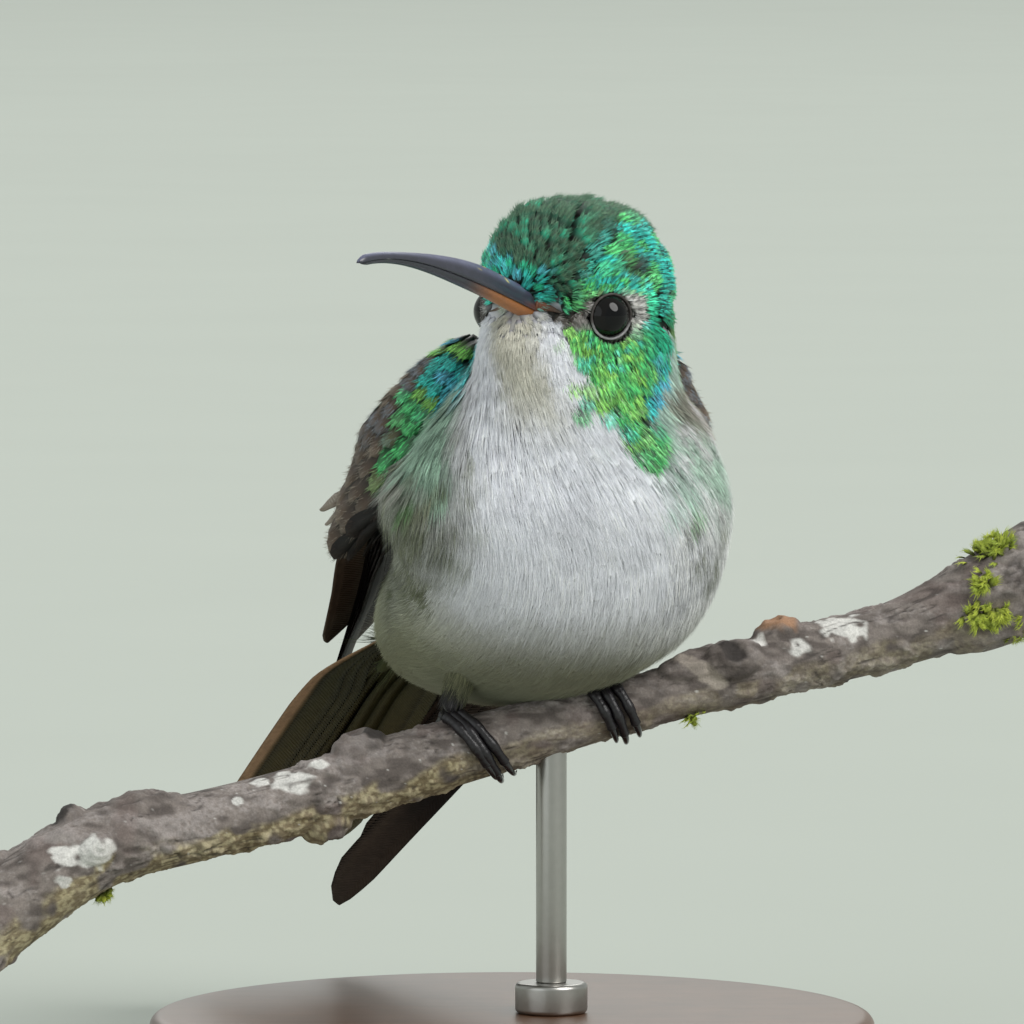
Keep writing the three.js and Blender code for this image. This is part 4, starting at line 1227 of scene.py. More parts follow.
def arm_surface(side):
    """A surface function of station and angle for the oval section of one wing."""

    def point(t, phi):
        """Centre plus half breadth times cosine across, plus half thickness times sine out."""
        centre, _, broad, out, row = wing_axes(side, t)
        return (
            centre
            + broad * (np.cos(phi) * row[..., 3])[..., None]
            + out * (np.sin(phi) * row[..., 4])[..., None]
        )

    def frame_at(t, phi):
        """The point, its outward normal, and how it moves with station and angle."""
        t = np.clip(t, ARM_STEP, len(WINGS[side]) - 1 - ARM_STEP)
        return surface_frame(point, t, phi, ARM_STEP, wing_axes(side, t)[0])

    return frame_at


# %% Arm and coverts
TIP_BROWN = srgb(158, 148, 134)
TIP_BLUE = srgb(128, 146, 164)
QUILL = srgb(32, 26, 24)
QUILL_EDGE = srgb(72, 59, 51)
# a band of green winds round the arm: its middle, in degrees round the oval, at some stations
GREEN_STATIONS = (0.3, 0.7, 1.2, 1.5, 1.7)
GREEN_ANGLES = (62, 80, 104, 122, 138)
ARM_ROWS, ARM_SIDES, ARM_END = 60, 48, 2.6
COVERT_FIRST, COVERT_LAST, COVERT_BARBS = 0.1, 2.45, 40

for number, side in enumerate(WINGS):
    surface = arm_surface(side)
    arm_t, arm_phi = grid(0.05, ARM_END, ARM_ROWS, ARM_SIDES)
    p, n, _, _ = surface(arm_t, arm_phi)
    slimmer = 0.45 + 1.3 * onset(arm_t, 1.8, 0.7)
    tint = blend(DARK * 1.4, BROWN * 0.6, onset(arm_t, 1.7, 0.4))
    arm = tube(f"arm_skin_{side}", p - n * slimmer[..., None], colour=tint, gloss=0 * arm_t)
    dress(arm, "mantle_feathers", plumage, f"wing_{side}_coverts")

    cover_t, cover_phi = [], []
    t, row = COVERT_FIRST, 0
    while t < COVERT_LAST:
        grade = onset(t, 0.2, 2.4)
        pace = mix(0.85, 1.9, grade)
        loop = surface(np.full(60, t), np.linspace(0, 2 * np.pi, 60))[0]
        girth = np.linalg.norm(np.diff(loop, axis=0), axis=1).sum()
        n_row = max(6, int(girth / mix(0.85, 1.5, grade)))
        cover_phi.append((np.arange(n_row) + 0.5 * (row % 2)) * 2 * np.pi / n_row)
        cover_t.append(np.full(n_row, t) + draw.uniform(-0.02, 0.02, n_row))
        t += pace / np.linalg.norm(surface(np.array([t]), np.array([1.6]))[2])
        row += 1
    cover_t, cover_phi = np.concatenate(cover_t), np.concatenate(cover_phi)
    grade = onset(cover_t, 0.2, 2.4)
    p, _, by_t, _ = surface(cover_t, cover_phi)
    length, width = mix(2.0, 4.2, grade), mix(0.75, 1.2, grade)
    chance = lattice(np.round(p * 9), 21)[:, None]
    place = np.degrees(cover_phi) % 360 + 16 * (chance[:, 0] - 0.5)
    past = place - np.interp(cover_t, GREEN_STATIONS, GREEN_ANGLES)
    green = mix(LIME, EMERALD, (chance > 0.5) * 1.0)
    cool = fade(cover_t, 1.0, 0.3)[:, None] * (chance > 0.35)
    green = mix(green, mix(SKY, TURQUOISE, (chance > 0.6) * 1.0), cool)
    narrow = onset(cover_t, 0.7, 0.8)
    brown = smooth((-past - mix(14, 7, narrow)) / 10) * onset(cover_t, 0.3, 0.2)
    brown = np.maximum(brown, onset(cover_t, 1.62, 0.15))
    if side == "left":
        brown = np.maximum(brown, onset(cover_t, 0.15, 0.3))
    inner = mix(118, 168, onset(cover_t, 1.2, 0.9))
    dark = smooth((place - inner) / 12) * onset(cover_t, 1.2, 0.2) * (side == "right")
    blue = onset(past, 18, 10) * fade(cover_t, 1.0, 0.2) * (side == "right")
    green = blend(green, mix(SKY, TURQUOISE, chance), blue)
    mint = onset(past, 24, 10) * fade(cover_t, 1.7, 0.2) * (side == "right") * (1 - blue)
    bluish = (chance < 0.6) * fade(cover_t, 1.7, 0.4)[:, None]
    tip_tint = mix(TIP_BROWN, TIP_BLUE, bluish * 0.8)
    vane = blend(green * 0.3, BROWN, brown)
    fringe = blend(green, tip_tint, brown)
    vane, fringe = (blend(c, TEAL * 0.3 + FLANK * 0.5, mint) for c in (vane, fringe))
    vane, fringe = blend(vane, QUILL * 0.7, dark), blend(fringe, QUILL_EDGE * 0.8, dark)
    root = np.ones_like(vane) * DARK
    sites = settle(surface, cover_t, cover_phi, by_t, length, width)
    where = np.stack([cover_phi / (2 * np.pi) % 1, cover_t / 2.9], -1)
    style = np.stack([0.25 + 0.75 * brown, 0.75 * (1 - brown), 0 * brown], -1)
    piece = coat(
        f"coverts_{side}", sites, length, width, style, (root, vane, fringe),
        0.9 * (1 - brown) * (1 - dark), 0.35 + 0 * brown, 0.35 + 0 * brown, where, COVERT_BARBS,
        COVERT_SEED + number,
    )
    dress(piece, "mantle_feathers", plumage)

# %% [markdown]
# ## Flight feathers
# Each long feather is a closed blade: a grid of points along its shaft and across its webs, on
# the upper side and again on the under side. The shaft stands up as a fine ridge. A second map
# in millimetres, across and along the feather, lets the finish rule the slanting barbs.

# %% Blade maker
BLADE_ROWS, BLADE_COLUMNS = 40, 9
BLADE_THICK = 0.10


def blade(line, across, up, lead, trail, camber):
    """Upper and under side points of one feather, and its place across and along.

    The point at share x across is line + across x web - up camber x squared + up shaft ridge.
    """
    x = np.linspace(-1, 1, BLADE_COLUMNS)
    x = np.sign(x) * np.abs(x) ** 1.4
    web = np.where(x < 0, lead[:, None], trail[:, None])
    along = np.concatenate([[0], np.cumsum(np.linalg.norm(np.diff(line, axis=0), axis=1))])
    sideways = x * web
    ridge = 0.11 * np.exp(-((sideways / 0.13) ** 2)) * (1 - 0.6 * along / along[-1])[:, None]
    bow = -camber * sideways**2
    half = BLADE_THICK / 2 * (1 - 0.75 * np.abs(x) ** 3)
    flat = line[:, None] + across[:, None] * sideways[..., None]
    top = flat + up[:, None] * (bow + half + ridge)[..., None]
    low = flat + up[:, None] * (bow - half - ridge * 0.8)[..., None]
    rings = np.concatenate([top, low[:, -2:0:-1]], axis=1)
    place = np.stack([sideways, along[:, None] + 0 * sideways], -1)
    place = np.concatenate([place, place[:, -2:0:-1]], axis=1)
    return rings, place


def vane_width(u, full):
    """Narrow at the quill, full over the middle, and rounded off to the tip."""
    tip = np.sqrt(np.clip((1.004 - u) * 12, 0, 1))
    return full * mix(0.25, 1.0, smooth(u / 0.35)) * tip * mix(1.0, 0.88, u)


def feather_set(name, blades, paints, material, slot, *nodes):
    """Several blades as one piece, each in its own strip of the unwrapped map."""
    strip, start, parts = np.array([1 / len(blades), 1.0]), 0, []
    for k, ((rings, place), paint) in enumerate(zip(blades, paints)):
        mesh, q, f, *maps = closed_tube(rings)
        spots = np.concatenate([place.reshape(-1, 2), [place[0].mean(0), place[-1].mean(0)]])
        maps = [(uv * 0.96 + 0.02 + [k, 0]) * strip for uv in maps]
        parts.append((mesh, q + start, f + start, *maps, spots[q], spots[f], paint(spots)))
        start += len(mesh)
    points, q, f, q_uv, f_uv, q_barb, f_barb, colours = (np.concatenate(p) for p in zip(*parts))
    maps = {"OFBake": [q_uv, f_uv], "Barbs": [q_barb, f_barb]}
    dress(put(name, points, [q, f], colours, 0.0, maps), slot, material, *nodes)


BARB_PITCH = 0.32


def barbed(name, roughness):
    """A feather finish whose barbs slant forwards from the shaft, ruled in millimetres."""
    material = finish(name, roughness=roughness, size=350, depth=0.3, Specular_IOR_Level=0.12)
    tree = material.node_tree
    ruled = add(tree, "ShaderNodeUVMap", uv_map="Barbs")
    split = add(tree, "ShaderNodeSeparateXYZ", {0: ruled.outputs[0]})
    slant = maths(tree, "MULTIPLY", maths(tree, "ABSOLUTE", split.outputs[0]), 1.1)
    run = maths(tree, "SUBTRACT", split.outputs[1], slant)
    wave = maths(tree, "SINE", maths(tree, "MULTIPLY", run, 2 * np.pi / BARB_PITCH))
    raised = add(tree, "ShaderNodeBump", {"Height": wave, "Distance": 0.02 * MM, "Strength": 0.8})
    tree.links.new(raised.outputs[0], tree.nodes["Principled BSDF"].inputs["Normal"])
    return material


wing_vane = barbed("wing_vane", 0.55)
tail_vane = barbed("tail_vane", 0.6)

# %% Wing blades
PRIMARIES, SECONDARIES, TERTIALS, GREATER = 10, 7, 4, 7
SPLAYED = {0: 0.5, 1: 0.9, 2: 0.5}  # the greater coverts that stand off the wing, and how far


def wing_blade(side, start, end, layer, full, tilt=0):
    """A blade down the wing between two (station, breadth share), and two layers outwards.

    A tilt, in degrees, turns its web about the shaft, so the lower edge stands off.
    """
    u = np.linspace(0, 1, BLADE_ROWS)
    t = mix(start[0], end[0], u)
    centre, _, broad, out, row = wing_axes(side, t)
    share = mix(start[1], end[1], u**0.8)
    plate = np.maximum(row[:, 4], mix(1.9, 0.8, onset(t, 3, 2.5)))
    raised = mix(layer[0], layer[1], u**2) * plate
    line = centre + broad * (share * row[:, 3])[:, None] + out * raised[:, None]
    c, sn = np.cos(np.radians(tilt)), np.sin(np.radians(tilt))
    across, up = broad * c - out * sn, out * c + broad * sn
    return blade(line, across, up, vane_width(u, full * 0.34), vane_width(u, full), 0.04)


# %% Wing paint and order


def quill_paint(length, ground=QUILL, rim=QUILL_EDGE):
    """Dark webs with a paler trailing edge and a worn tip."""

    def paint(spots):
        """Colours by place across and along the feather, in millimetres."""
        edge = onset(np.abs(spots[:, 0]), 1.1, 0.6)[:, None]
        wear_and_sheen = smooth((spots[:, 1] - length * 0.85) / (length * 0.15))[:, None]
        return mix(mix(ground, rim, edge * 0.7), rim, wear_and_sheen * 0.7)

    return paint


for side in WINGS:
    blades, paints = [], []
    open_wing = side == "right"
    for k in range(PRIMARIES):
        s = k / (PRIMARIES - 1)
        start = (2.2 - 0.2 * s, mix(-0.75, 0.3, s))
        end = (mix(6.95, 5.0, s**0.85), mix(-0.45, 0.75, s))
        layer = mix(-1.3, 0.35, s)
        blades.append(wing_blade(side, start, end, (layer, layer * 0.5), mix(2.5, 3.2, s)))
        paints.append(quill_paint(mix(44, 26, s)))
    for k in range(SECONDARIES):
        s = k / (SECONDARIES - 1)
        start = (mix(2.2, 1.8, s), mix(-0.45, 0.6, s))
        end = (mix(4.9, 3.6, s), mix(-0.40, 1.0, s**1.5))
        layer = mix(0.5, 0.95, s)
        blades.append(wing_blade(side, start, end, (layer * 0.3, layer), 3.0, 22 * open_wing))
        web = mix(QUILL, BROWN * 1.5, mix(0.75, 0.1, s))
        paints.append(quill_paint(18, web, mix(BROWN, TIP_BROWN, 0.3)))
    for k in range(TERTIALS):
        s = k / (TERTIALS - 1)
        start, end = (2.3, mix(0.4, 1.0, s)), (mix(5.6, 4.9, s), mix(0.9, 1.6, s))
        blades.append(wing_blade(side, start, end, (-0.5, mix(-0.4, -1.1, s)), 3.2, 18 * open_wing))
        paints.append(quill_paint(26))
    for k in range(GREATER):
        s = k / (GREATER - 1)
        start, end = (mix(1.9, 1.6, s), mix(-0.35, 0.5, s)), (mix(3.2, 2.8, s), mix(-0.3, 0.5, s))
        splayed = SPLAYED.get(k, 0) * open_wing
        blades.append(wing_blade(side, start, end, (0.3, 0.8 + splayed), 1.5))
        web = mix(BROWN, QUILL * 0.7, smooth((s - 0.3) * 2.5))
        paints.append(quill_paint(7, web, mix(TIP_BROWN, QUILL, smooth(s * 1.5))))
    feather_set(
        f"flight_feathers_{side}", blades, paints, wing_vane, "wing_feathers",
        f"wing_{side}_secondaries", f"wing_{side}_primaries",
    )

# %% [markdown]
# ## Tail
# Ten feathers make a shallow fan that droops behind the perch. The middle pair lies on top, and
# each outer one a little lower, so from below the outermost shows whole: a tan outer web, a
# black shaft line, and an olive bronze inner web.

# %% Tail feathers
TAIL_ROOT = np.array([-7.6, 9.8, 30.9])
TAIL_YAW, TAIL_DROP, TAIL_LENGTH = 25, 34, 30.0
TAIL_FEATHERS, TAIL_HALF_WIDTH = 10, (5.2, 6.2)
TAIL_NOTCH, TAIL_ARCH = 1.6, 0.9
tail_back = -facing(TAIL_YAW)
tail_along = tail_back * np.cos(np.radians(TAIL_DROP)) - UP * np.sin(np.radians(TAIL_DROP))
tail_left = np.cross(tail_back, UP)
tail_above = np.cross(tail_left, tail_along)
TAN = srgb(176, 142, 112)
BRONZE_DARK = srgb(60, 60, 36)
COPPERY = srgb(98, 80, 50)


def tail_blade(s):
    """The feather whose tip is at share s of the fan's half width, -1 at the bird's right."""
    u = np.linspace(0, 1, BLADE_ROWS)
    reach = TAIL_LENGTH - TAIL_NOTCH * (1 - abs(s)) * 0.8
    side = s * (mix(*TAIL_HALF_WIDTH, u**0.8) - 1.0) * smooth(0.35 + u * 3)
    below = 0.35 - 0.75 * abs(s) - TAIL_ARCH * (s * u) ** 2
    line = (
        TAIL_ROOT
        + tail_along * (u * reach)[:, None]
        + tail_left * side[:, None]
        + tail_above * (below + 0 * u)[:, None]
    )
    outer = -1 if s < 0 else 1
    across = tail_left * outer * np.ones((BLADE_ROWS, 1))
    narrow, wide = vane_width(u, 1.35), vane_width(u, 2.3)
    return blade(line, -across, tail_above * np.ones((BLADE_ROWS, 1)), narrow, wide, 0.05)


def tail_paint(s):
    """Tan outside the shaft on the outer feathers, bronze inside it, dark along the shaft."""

    def paint(spots):
        """Colours by place across and along the feather, in millimetres."""
        outside = onset(-spots[:, 0], 0.1, 0.25)[:, None]
        line = np.exp(-(((spots[:, 0] - 0.1) / 0.22) ** 2))[:, None]
        pale = onset(abs(s), 0.55, 0.3) * (s < 0)
        web = blend(BRONZE_DARK, COPPERY, smooth(spots[:, 1] / 30) * 0.6)
        web = mix(web, TAN, outside * pale)
        return mix(web, QUILL * 0.8, line * 0.55)

    return paint


order = sorted(np.linspace(-1, 1, TAIL_FEATHERS), key=abs)
feather_set(
    "tail_feathers", [tail_blade(s) for s in order], [tail_paint(s) for s in order],
    tail_vane, "tail_feathers", "tail_right", "tail_centre", "tail_left",
)

# %% [markdown]
# ## Eyes
# A bird's eye is nearly all dark: a black pupil in a very dark brown iris under a clear, wet
# cornea, with bare lids as a thin wrinkled ring. The ball is a fine sphere about the eye's own
# axis, so the iris can be painted by the angle from that axis.

# %% Eyes and lids
eye_finish = finish("eye_gloss", roughness=0.05, size=200, depth=0.0, Specular_IOR_Level=0.28)
lid_finish = finish("lid_skin", roughness=0.5, size=3000, depth=0.5, bump=0.05, bump_size=6000)
PUPIL, IRIS = srgb(4, 4, 6), srgb(13, 10, 10)
LID_DARK, LID_PALE = srgb(58, 52, 50), srgb(150, 148, 150)
BALL_RINGS, BALL_SIDES = 56, 64
LID_AROUND, LID_BEAD, LID_THICK = 90, 14, 0.10
LID_ANGLE = np.radians(61)  # from the eye's axis out to the rim of the lids


def ring_points(middle, way, radius, height, sides):
    """A circle of points about a direction, raised along it."""
    a = unit(np.cross(way, [0.1, 0.2, 1.0]))
    b = np.cross(way, a)
    turn = turns(sides)
    circle = a * np.cos(turn)[:, None] + b * np.sin(turn)[:, None]
    radius, height = np.asarray(radius, float), np.asarray(height, float)
    return middle + circle * radius[..., None, None] + way * height[..., None, None]


for side, middle in EYES.items():
    gaze = GAZES[side]
    polar = np.linspace(0.03, np.pi - 0.03, BALL_RINGS)
    bulge = EYE_RADIUS + 0.06 * np.exp(-((polar / 0.5) ** 2))
    rings = ring_points(middle, gaze, bulge * np.sin(polar), bulge * np.cos(polar), BALL_SIDES)
    poles = np.stack([middle + gaze * bulge[0], middle - gaze * bulge[-1]])
    iris = onset(polar, 0.5, 0.06) * fade(polar, 1.05, 0.1)
    tint = blend(PUPIL, IRIS, iris)[:, None] * np.ones((1, BALL_SIDES, 1))
    ball = tube(f"eyeball_{side}", rings, poles, colour=tint)
    dress(ball, "eye", eye_finish, f"eye_{side}")

    bead = turns(LID_BEAD)
    around = ring_points(middle, gaze, 1.0, 0.0, LID_AROUND) - middle
    wrinkle = 1 + 0.10 * np.sin(np.arange(LID_AROUND) * 2 * np.pi * 22 / LID_AROUND)[:, None]
    r = EYE_RADIUS * np.sin(LID_ANGLE) + 0.05 + LID_THICK * wrinkle * np.cos(bead)
    h = EYE_RADIUS * np.cos(LID_ANGLE) + 0.03 + LID_THICK * wrinkle * np.sin(bead)
    lid = (middle + around[:, None] * r[..., None] + gaze * h[..., None]).reshape(-1, 3)
    i, j = np.meshgrid(np.arange(LID_AROUND), np.arange(LID_BEAD), indexing="ij")
    i2, j2 = (i + 1) % LID_AROUND * LID_BEAD, (j + 1) % LID_BEAD
    quads = np.stack([i * LID_BEAD + j, i2 + j, i2 + j2, i * LID_BEAD + j2], -1).reshape(-1, 4)
    u0, u1, v0, v1 = i / LID_AROUND, (i + 1) / LID_AROUND, j / LID_BEAD, (j + 1) / LID_BEAD
    places = np.stack([u0, v0, u1, v0, u1, v1, u0, v1], -1).reshape(-1, 4, 2)
    (turned_quads,) = outward(lid, quads)
    if turned_quads[0, 0] != quads[0, 0]:
        places = places[:, ::-1]
    low_rim = onset(-around[:, 2], 0.1, 0.5)[:, None, None] * (np.sin(bead) > 0.2)[None, :, None]
    tint = mix(LID_DARK, LID_PALE, low_rim).reshape(-1, 3)
    rim = put(f"eyelid_{side}", lid, [turned_quads], tint, 0.0, {"OFBake": [places]})
    dress(rim, "eye", lid_finish)

# %% [markdown]
# ## Bill
# The bill is two horn blades that meet in a long curve. The upper one is slate black with a
# rounded ridge along its top and a groove over the nostril. The lower one is orange brown at
# its root. Both are half ovals carried along one drooping line.

# %% Bill
BILL_LENGTH, BILL_SUNK, BILL_GAP = 20.2, 3.0, 0.02
BILL_RINGS, BILL_ARC, BILL_FLAT = 110, 22, 6


def bill_pitch(s):
    """20.5 degrees at the root, less 8 u and 23 u to the fourth, where u is the share."""
    u = np.clip(s / BILL_LENGTH, 0, 1)
    return np.radians(20.5 - 8 * u - 23 * u**4)


fine_s = np.arange(0, BILL_SUNK + BILL_LENGTH, 0.02) - BILL_SUNK
pitch = bill_pitch(fine_s)
steps = (head_forward * np.cos(pitch)[:, None] + UP * np.sin(pitch)[:, None]) * 0.02
bill_start = BILL_ROOT - BILL_SUNK * (head_forward * np.cos(bill_pitch(0)) + UP * np.sin(bill_pitch(0)))
bill_track = bill_start + np.cumsum(steps, axis=0) - steps[0]

BILL_SLATE = srgb(54, 54, 66)
BILL_PAINTED_SHEEN = srgb(96, 98, 124)
BILL_ORANGE = srgb(166, 104, 56)
BILL_RED = srgb(120, 70, 52)
POLLEN = srgb(226, 206, 110)
GAPE_RED = srgb(112, 66, 44)


def mandible(upper):
    """Rings of a half oval above or below the line where the two blades meet."""
    sign = 1 if upper else -1
    length = 1 if upper else 0.985
    u = np.linspace(0, length, BILL_RINGS)
    s = u * (BILL_SUNK + BILL_LENGTH) - BILL_SUNK
    at = np.stack([np.interp(s, fine_s, bill_track[:, k]) for k in range(3)], -1)
    pitch = bill_pitch(s)[:, None]
    lift = UP * np.cos(pitch) - head_forward * np.sin(pitch)
    share = np.clip(s / BILL_LENGTH, 0, 1)
    taper = 0.45 * share + 0.55 * share**0.4
    end = np.sqrt(np.clip((1.004 * length - u) * 30, 0, 1))
    wide = mix(1.15, 0.34, taper) * end * (1 if upper else 0.86)
    if upper:
        high = mix(1.38, 0.44, onset(share, 0.25, 0.6)) * end
    else:
        high = mix(0.54, 0.27, onset(share, 0.35, 0.6)) * end
    a = np.linspace(0, np.pi, BILL_ARC)
    flat = np.linspace(-1, 1, BILL_FLAT + 2)[1:-1]
    rise = np.append(np.sin(a) ** 0.85, 0 * flat)
    aside = np.append(np.cos(a), flat)
    ridge = 1 + (0.10 if upper else 0.04) * np.exp(-((aside / 0.22) ** 2))
    level = sign * (BILL_GAP / 2 + high[:, None] * rise * ridge)
    across = sign * aside * wide[:, None] * (1 - 0.10 * rise)
    if upper:
        groove = np.exp(-(((s[:, None] - 3.2) / 2.6) ** 2)) * np.exp(-(((rise - 0.42) / 0.16) ** 2))
        across = across * (1 - 0.16 * groove * (s[:, None] > 0))
    rings = at[:, None] + head_left * across[..., None] + lift[:, None] * level[..., None]
    return rings, s, rise


# %% Upper and lower bill
for name, upper in (("upper", True), ("lower", False)):
    rings, s, rise = mandible(upper)
    # Painted sheen: the top of each blade is a paler lavender grey, a painted reflection of the sky,
    # far less on the lower blade.
    wear_and_sheen = onset(rise, 0.5, 0.5) * (1 if upper else 0.2)
    slate_and_sheen = mix(BILL_SLATE, BILL_PAINTED_SHEEN, wear_and_sheen[None, :, None])
    if upper:
        near = fade(s[:, None], 2.2, 2.0) * fade(rise, 0.4, 0.3)
        tint = blend(slate_and_sheen * np.ones((len(s), 1, 1)), BILL_RED, near * 0.8)
        grain_at = lattice(np.round(rings * 4), 77) * (s[:, None] > 0.3) * (rise > 0.5)
        pollen = onset(grain_at, 0.955, 0.01) * fade(s[:, None], 8.0, 3)
        tint = blend(tint, POLLEN, pollen)
    else:
        near = fade(s, 8.5, 5)[:, None, None]
        tint = mix(slate_and_sheen * 0.8 * np.ones((len(s), 1, 1)), BILL_ORANGE, near)
    horn = finish(
        f"bill_{name}_horn", roughness=0.34, size=500, depth=0.25,
        bump=0.012, bump_size=2500, stretch=0.4, Coat_Weight=0.25, Coat_Roughness=0.2,
    )
    piece = tube(f"mandible_{name}", rings, colour=tint)
    dress(piece, f"bill_{name}", horn, f"bill_{name}")

# %% Gape
# A soft bare strip joins each corner of the bill to the face and thins out towards the eye.
gape_finish = finish("gape_skin", roughness=0.5, size=2500, depth=0.5, bump=0.03, bump_size=5000)
GAPE_SIDES = 14
for side, (line, wide, way) in gape_lines.items():
    along = unit(np.gradient(line, axis=0))
    out = square_to(way, along)
    across = np.cross(along, out)
    a = turns(GAPE_SIDES)
    k = np.arange(GAPE_RINGS)
    ends = np.sqrt(np.clip(np.minimum(k + 1, GAPE_RINGS - k) / 5, 0, 1))
    ring = across[:, None] * np.cos(a)[:, None] + out[:, None] * (np.sin(a) * 0.6)[:, None]
    slim = 0.85 if side == "left" else 0.4
    strip = line[:, None] + ring * (wide * ends * slim)[:, None, None]
    tint = mix(GAPE_RED, LORE * 0.8, smooth(np.linspace(-0.3, 1, GAPE_RINGS))[:, None, None])
    piece = tube(f"gape_{side}", strip, colour=tint * np.ones((GAPE_RINGS, GAPE_SIDES, 1)))
    dress(piece, "bill_lower", gape_finish)

# %% [markdown]
# ## Perch
# The perch is a cut length of a thin mossy twig. Its skin is a grid of rings, finer than any
# crack. Knots and buds push the grid outwards, long cracks and plates press it in, and the same
# measures paint it: grey brown bark, darker in the cracks, with chalky lichen above and an
# ochre crust below.

# %% Twig line
# centre x, y, z and radius, from the low end to the high end
TWIG = np.array([
    [-38.5, -10.8, 10.7, 3.3],
    [-30.0, -8.6, 16.4, 2.95],
    [-22.3, -6.5, 18.1, 2.5],
    [-15.1, -4.6, 19.8, 2.45],
    [-8.0, -2.7, 21.9, 2.5],
    [-0.9, -0.8, 23.7, 2.3],
    [9.1, 1.9, 26.2, 2.0],
    [20.6, 5.0, 29.05, 2.35],
    [28.5, 7.1, 30.95, 2.5],
    [38.5, 9.8, 35.2, 3.8],
])
# place by x, angle round it, reach outwards, half length along it
KNOTS = np.array([
    [-35.5, 95, 1.2, 1.6],
    [-30.0, 90, 0.8, 0.9],
    [-25.5, 85, 0.5, 3.0],
    [-29.6, 10, 0.8, 1.4],
    [-13.9, -80, 1.2, 2.2],
    [-10.3, 86, 1.3, 2.4],
    [13.2, 62, 0.9, 2.0],
    [15.9, 40, 1.3, 1.6],
    [19.6, 86, 1.1, 1.5],
    [33.5, -60, 0.9, 2.4],
])


def twig_axes(share):
    """Centre, radius, direction along, top and front of the twig at a share of its length."""
    last = len(TWIG) - 1
    t = np.clip(np.asarray(share, float), 0, 1) * last
    row = spline(TWIG, t)
    along = course(TWIG[:, :3], t, LINE_STEP)
    top = square_to(UP, along)
    front = -np.cross(top, along)
    return row[..., :3], row[..., 3], along, top, front


share_table = np.linspace(0, 1, 4001)
x_table = twig_axes(share_table)[0][:, 0]
TWIG_SPAN = float(np.linalg.norm(TWIG[-1, :3] - TWIG[0, :3]))


def share_at(x):
    """The share of the twig whose centre has this x."""
    return np.interp(x, x_table, share_table)


def round_twig(share, angle, distance):
    """A point round the twig: angle 0 faces forward, 90 degrees is its top."""
    centre, _, _, top, front = twig_axes(share)
    a = np.radians(angle)[..., None]
    return centre + (front * np.cos(a) + top * np.sin(a)) * np.asarray(distance)[..., None]


# %% Bark
BARK_ROWS, BARK_SIDES = 560, 150
bark_share = np.linspace(0, 1, BARK_ROWS)[:, None] + np.zeros(BARK_SIDES)
bark_angle = np.linspace(0, 360, BARK_SIDES, endpoint=False) + np.zeros((BARK_ROWS, 1))
_, bark_r, _, _, _ = twig_axes(bark_share)
bare = round_twig(bark_share, bark_angle, bark_r)
stretched = bare * [0.45, 1.0, 1.0]
big = noise(bare, 3.4, 31)
mid = noise(stretched, 1.1, 32)
small = noise(stretched, 0.42, 33)
dust = noise(bare, 0.17, 34)
wavy = bark_angle / 360 * 2 * np.pi * 2.6 + 1.2 * (big - 0.5)
fissure = noise(np.stack([bare[..., 0] * 0.22, wavy, 0 * wavy], -1), 0.36, 40)
crack = fade(np.abs(fissure - 0.5), 0.10, 0.10) * onset(noise(bare, 1.4, 41), 0.48, 0.2)
lump = noise(bare, 0.75, 35)
height = 0.5 * (big - 0.5) + 0.4 * (mid - 0.5) + 0.34 * (lump - 0.5) + 0.28 * (small - 0.5)
height = height + 0.14 * (dust - 0.5) - 0.16 * crack
knot_mask = np.zeros_like(big)
for x, angle, reach, long in KNOTS:
    middle = share_at(x)
    away = (bark_share - middle) * TWIG_SPAN / long
    turned_by = (bark_angle - angle + 180) % 360 - 180
    arc = np.radians(turned_by) * bark_r / ((long + reach) / 2)
    q = away**2 + arc**2
    dome = np.sqrt(np.clip(1 - q, 0, 1)) * 0.6 + 0.4 * np.exp(-q * 1.4)
    pit = 0.35 * np.exp(-q * 9) * (reach > 0.85)
    swirl = 0.09 * np.sin(np.sqrt(q) * 14 + 3 * mid) * np.exp(-q)
    height = np.maximum(height, height * 0.6 + (dome - pit) * reach + swirl * (q < 2.5))
    knot_mask = np.maximum(knot_mask, np.exp(-q * 0.8))
bark = round_twig(bark_share, bark_angle, bark_r + height - 0.04)

# %% Bark colours
BARK_GREY = srgb(124, 115, 110)
BARK_DARK = srgb(68, 60, 57)
BARK_PALE = srgb(168, 160, 158)
BARK_RUDDY = srgb(104, 88, 84)
LICHEN = srgb(222, 220, 216)
OCHRE = srgb(150, 130, 88)
CRUST = srgb(196, 184, 146)
PEELED = srgb(160, 150, 140)
STUB = srgb(206, 190, 116)
BUD = srgb(170, 128, 96)
lower = -np.sin(np.radians(bark_angle))
under = smooth((lower + 0.02 + 0.5 * (noise(bare, 1.9, 38) - 0.5)) / 0.3)
tint = blend(BARK_GREY, BARK_PALE, onset(mid * 0.6 + dust * 0.5, 0.5, 0.3) * 0.5)
tint = blend(tint, BARK_DARK, smooth((0.46 - small * 0.5 - mid * 0.3) / 0.25) * 0.7)
tint = blend(tint, BARK_RUDDY, onset(noise(bare, 2.1, 36), 0.6, 0.15) * 0.4)
grains = onset(noise(bare, 0.26, 48), 0.45, 0.2)
crust_tint = blend(OCHRE * 0.55, CRUST, grains * 0.7 + 0.3 * dust)
crusted = under * mix(0.75, 0.25, smooth((bare[..., 0] + 6) / 8))
crusted = crusted * onset(noise(bare, 1.3, 49), 0.28, 0.2)
tint = blend(tint, crust_tint, crusted)
tint = blend(tint, BARK_DARK * 0.5, crack * 0.7)
tint = blend(tint, BARK_DARK * 1.1, knot_mask * 0.4 * (dust > 0.35))
tint = blend(tint, LICHEN, onset(noise(bare, 0.21, 47), 0.92, 0.05) * 0.6)


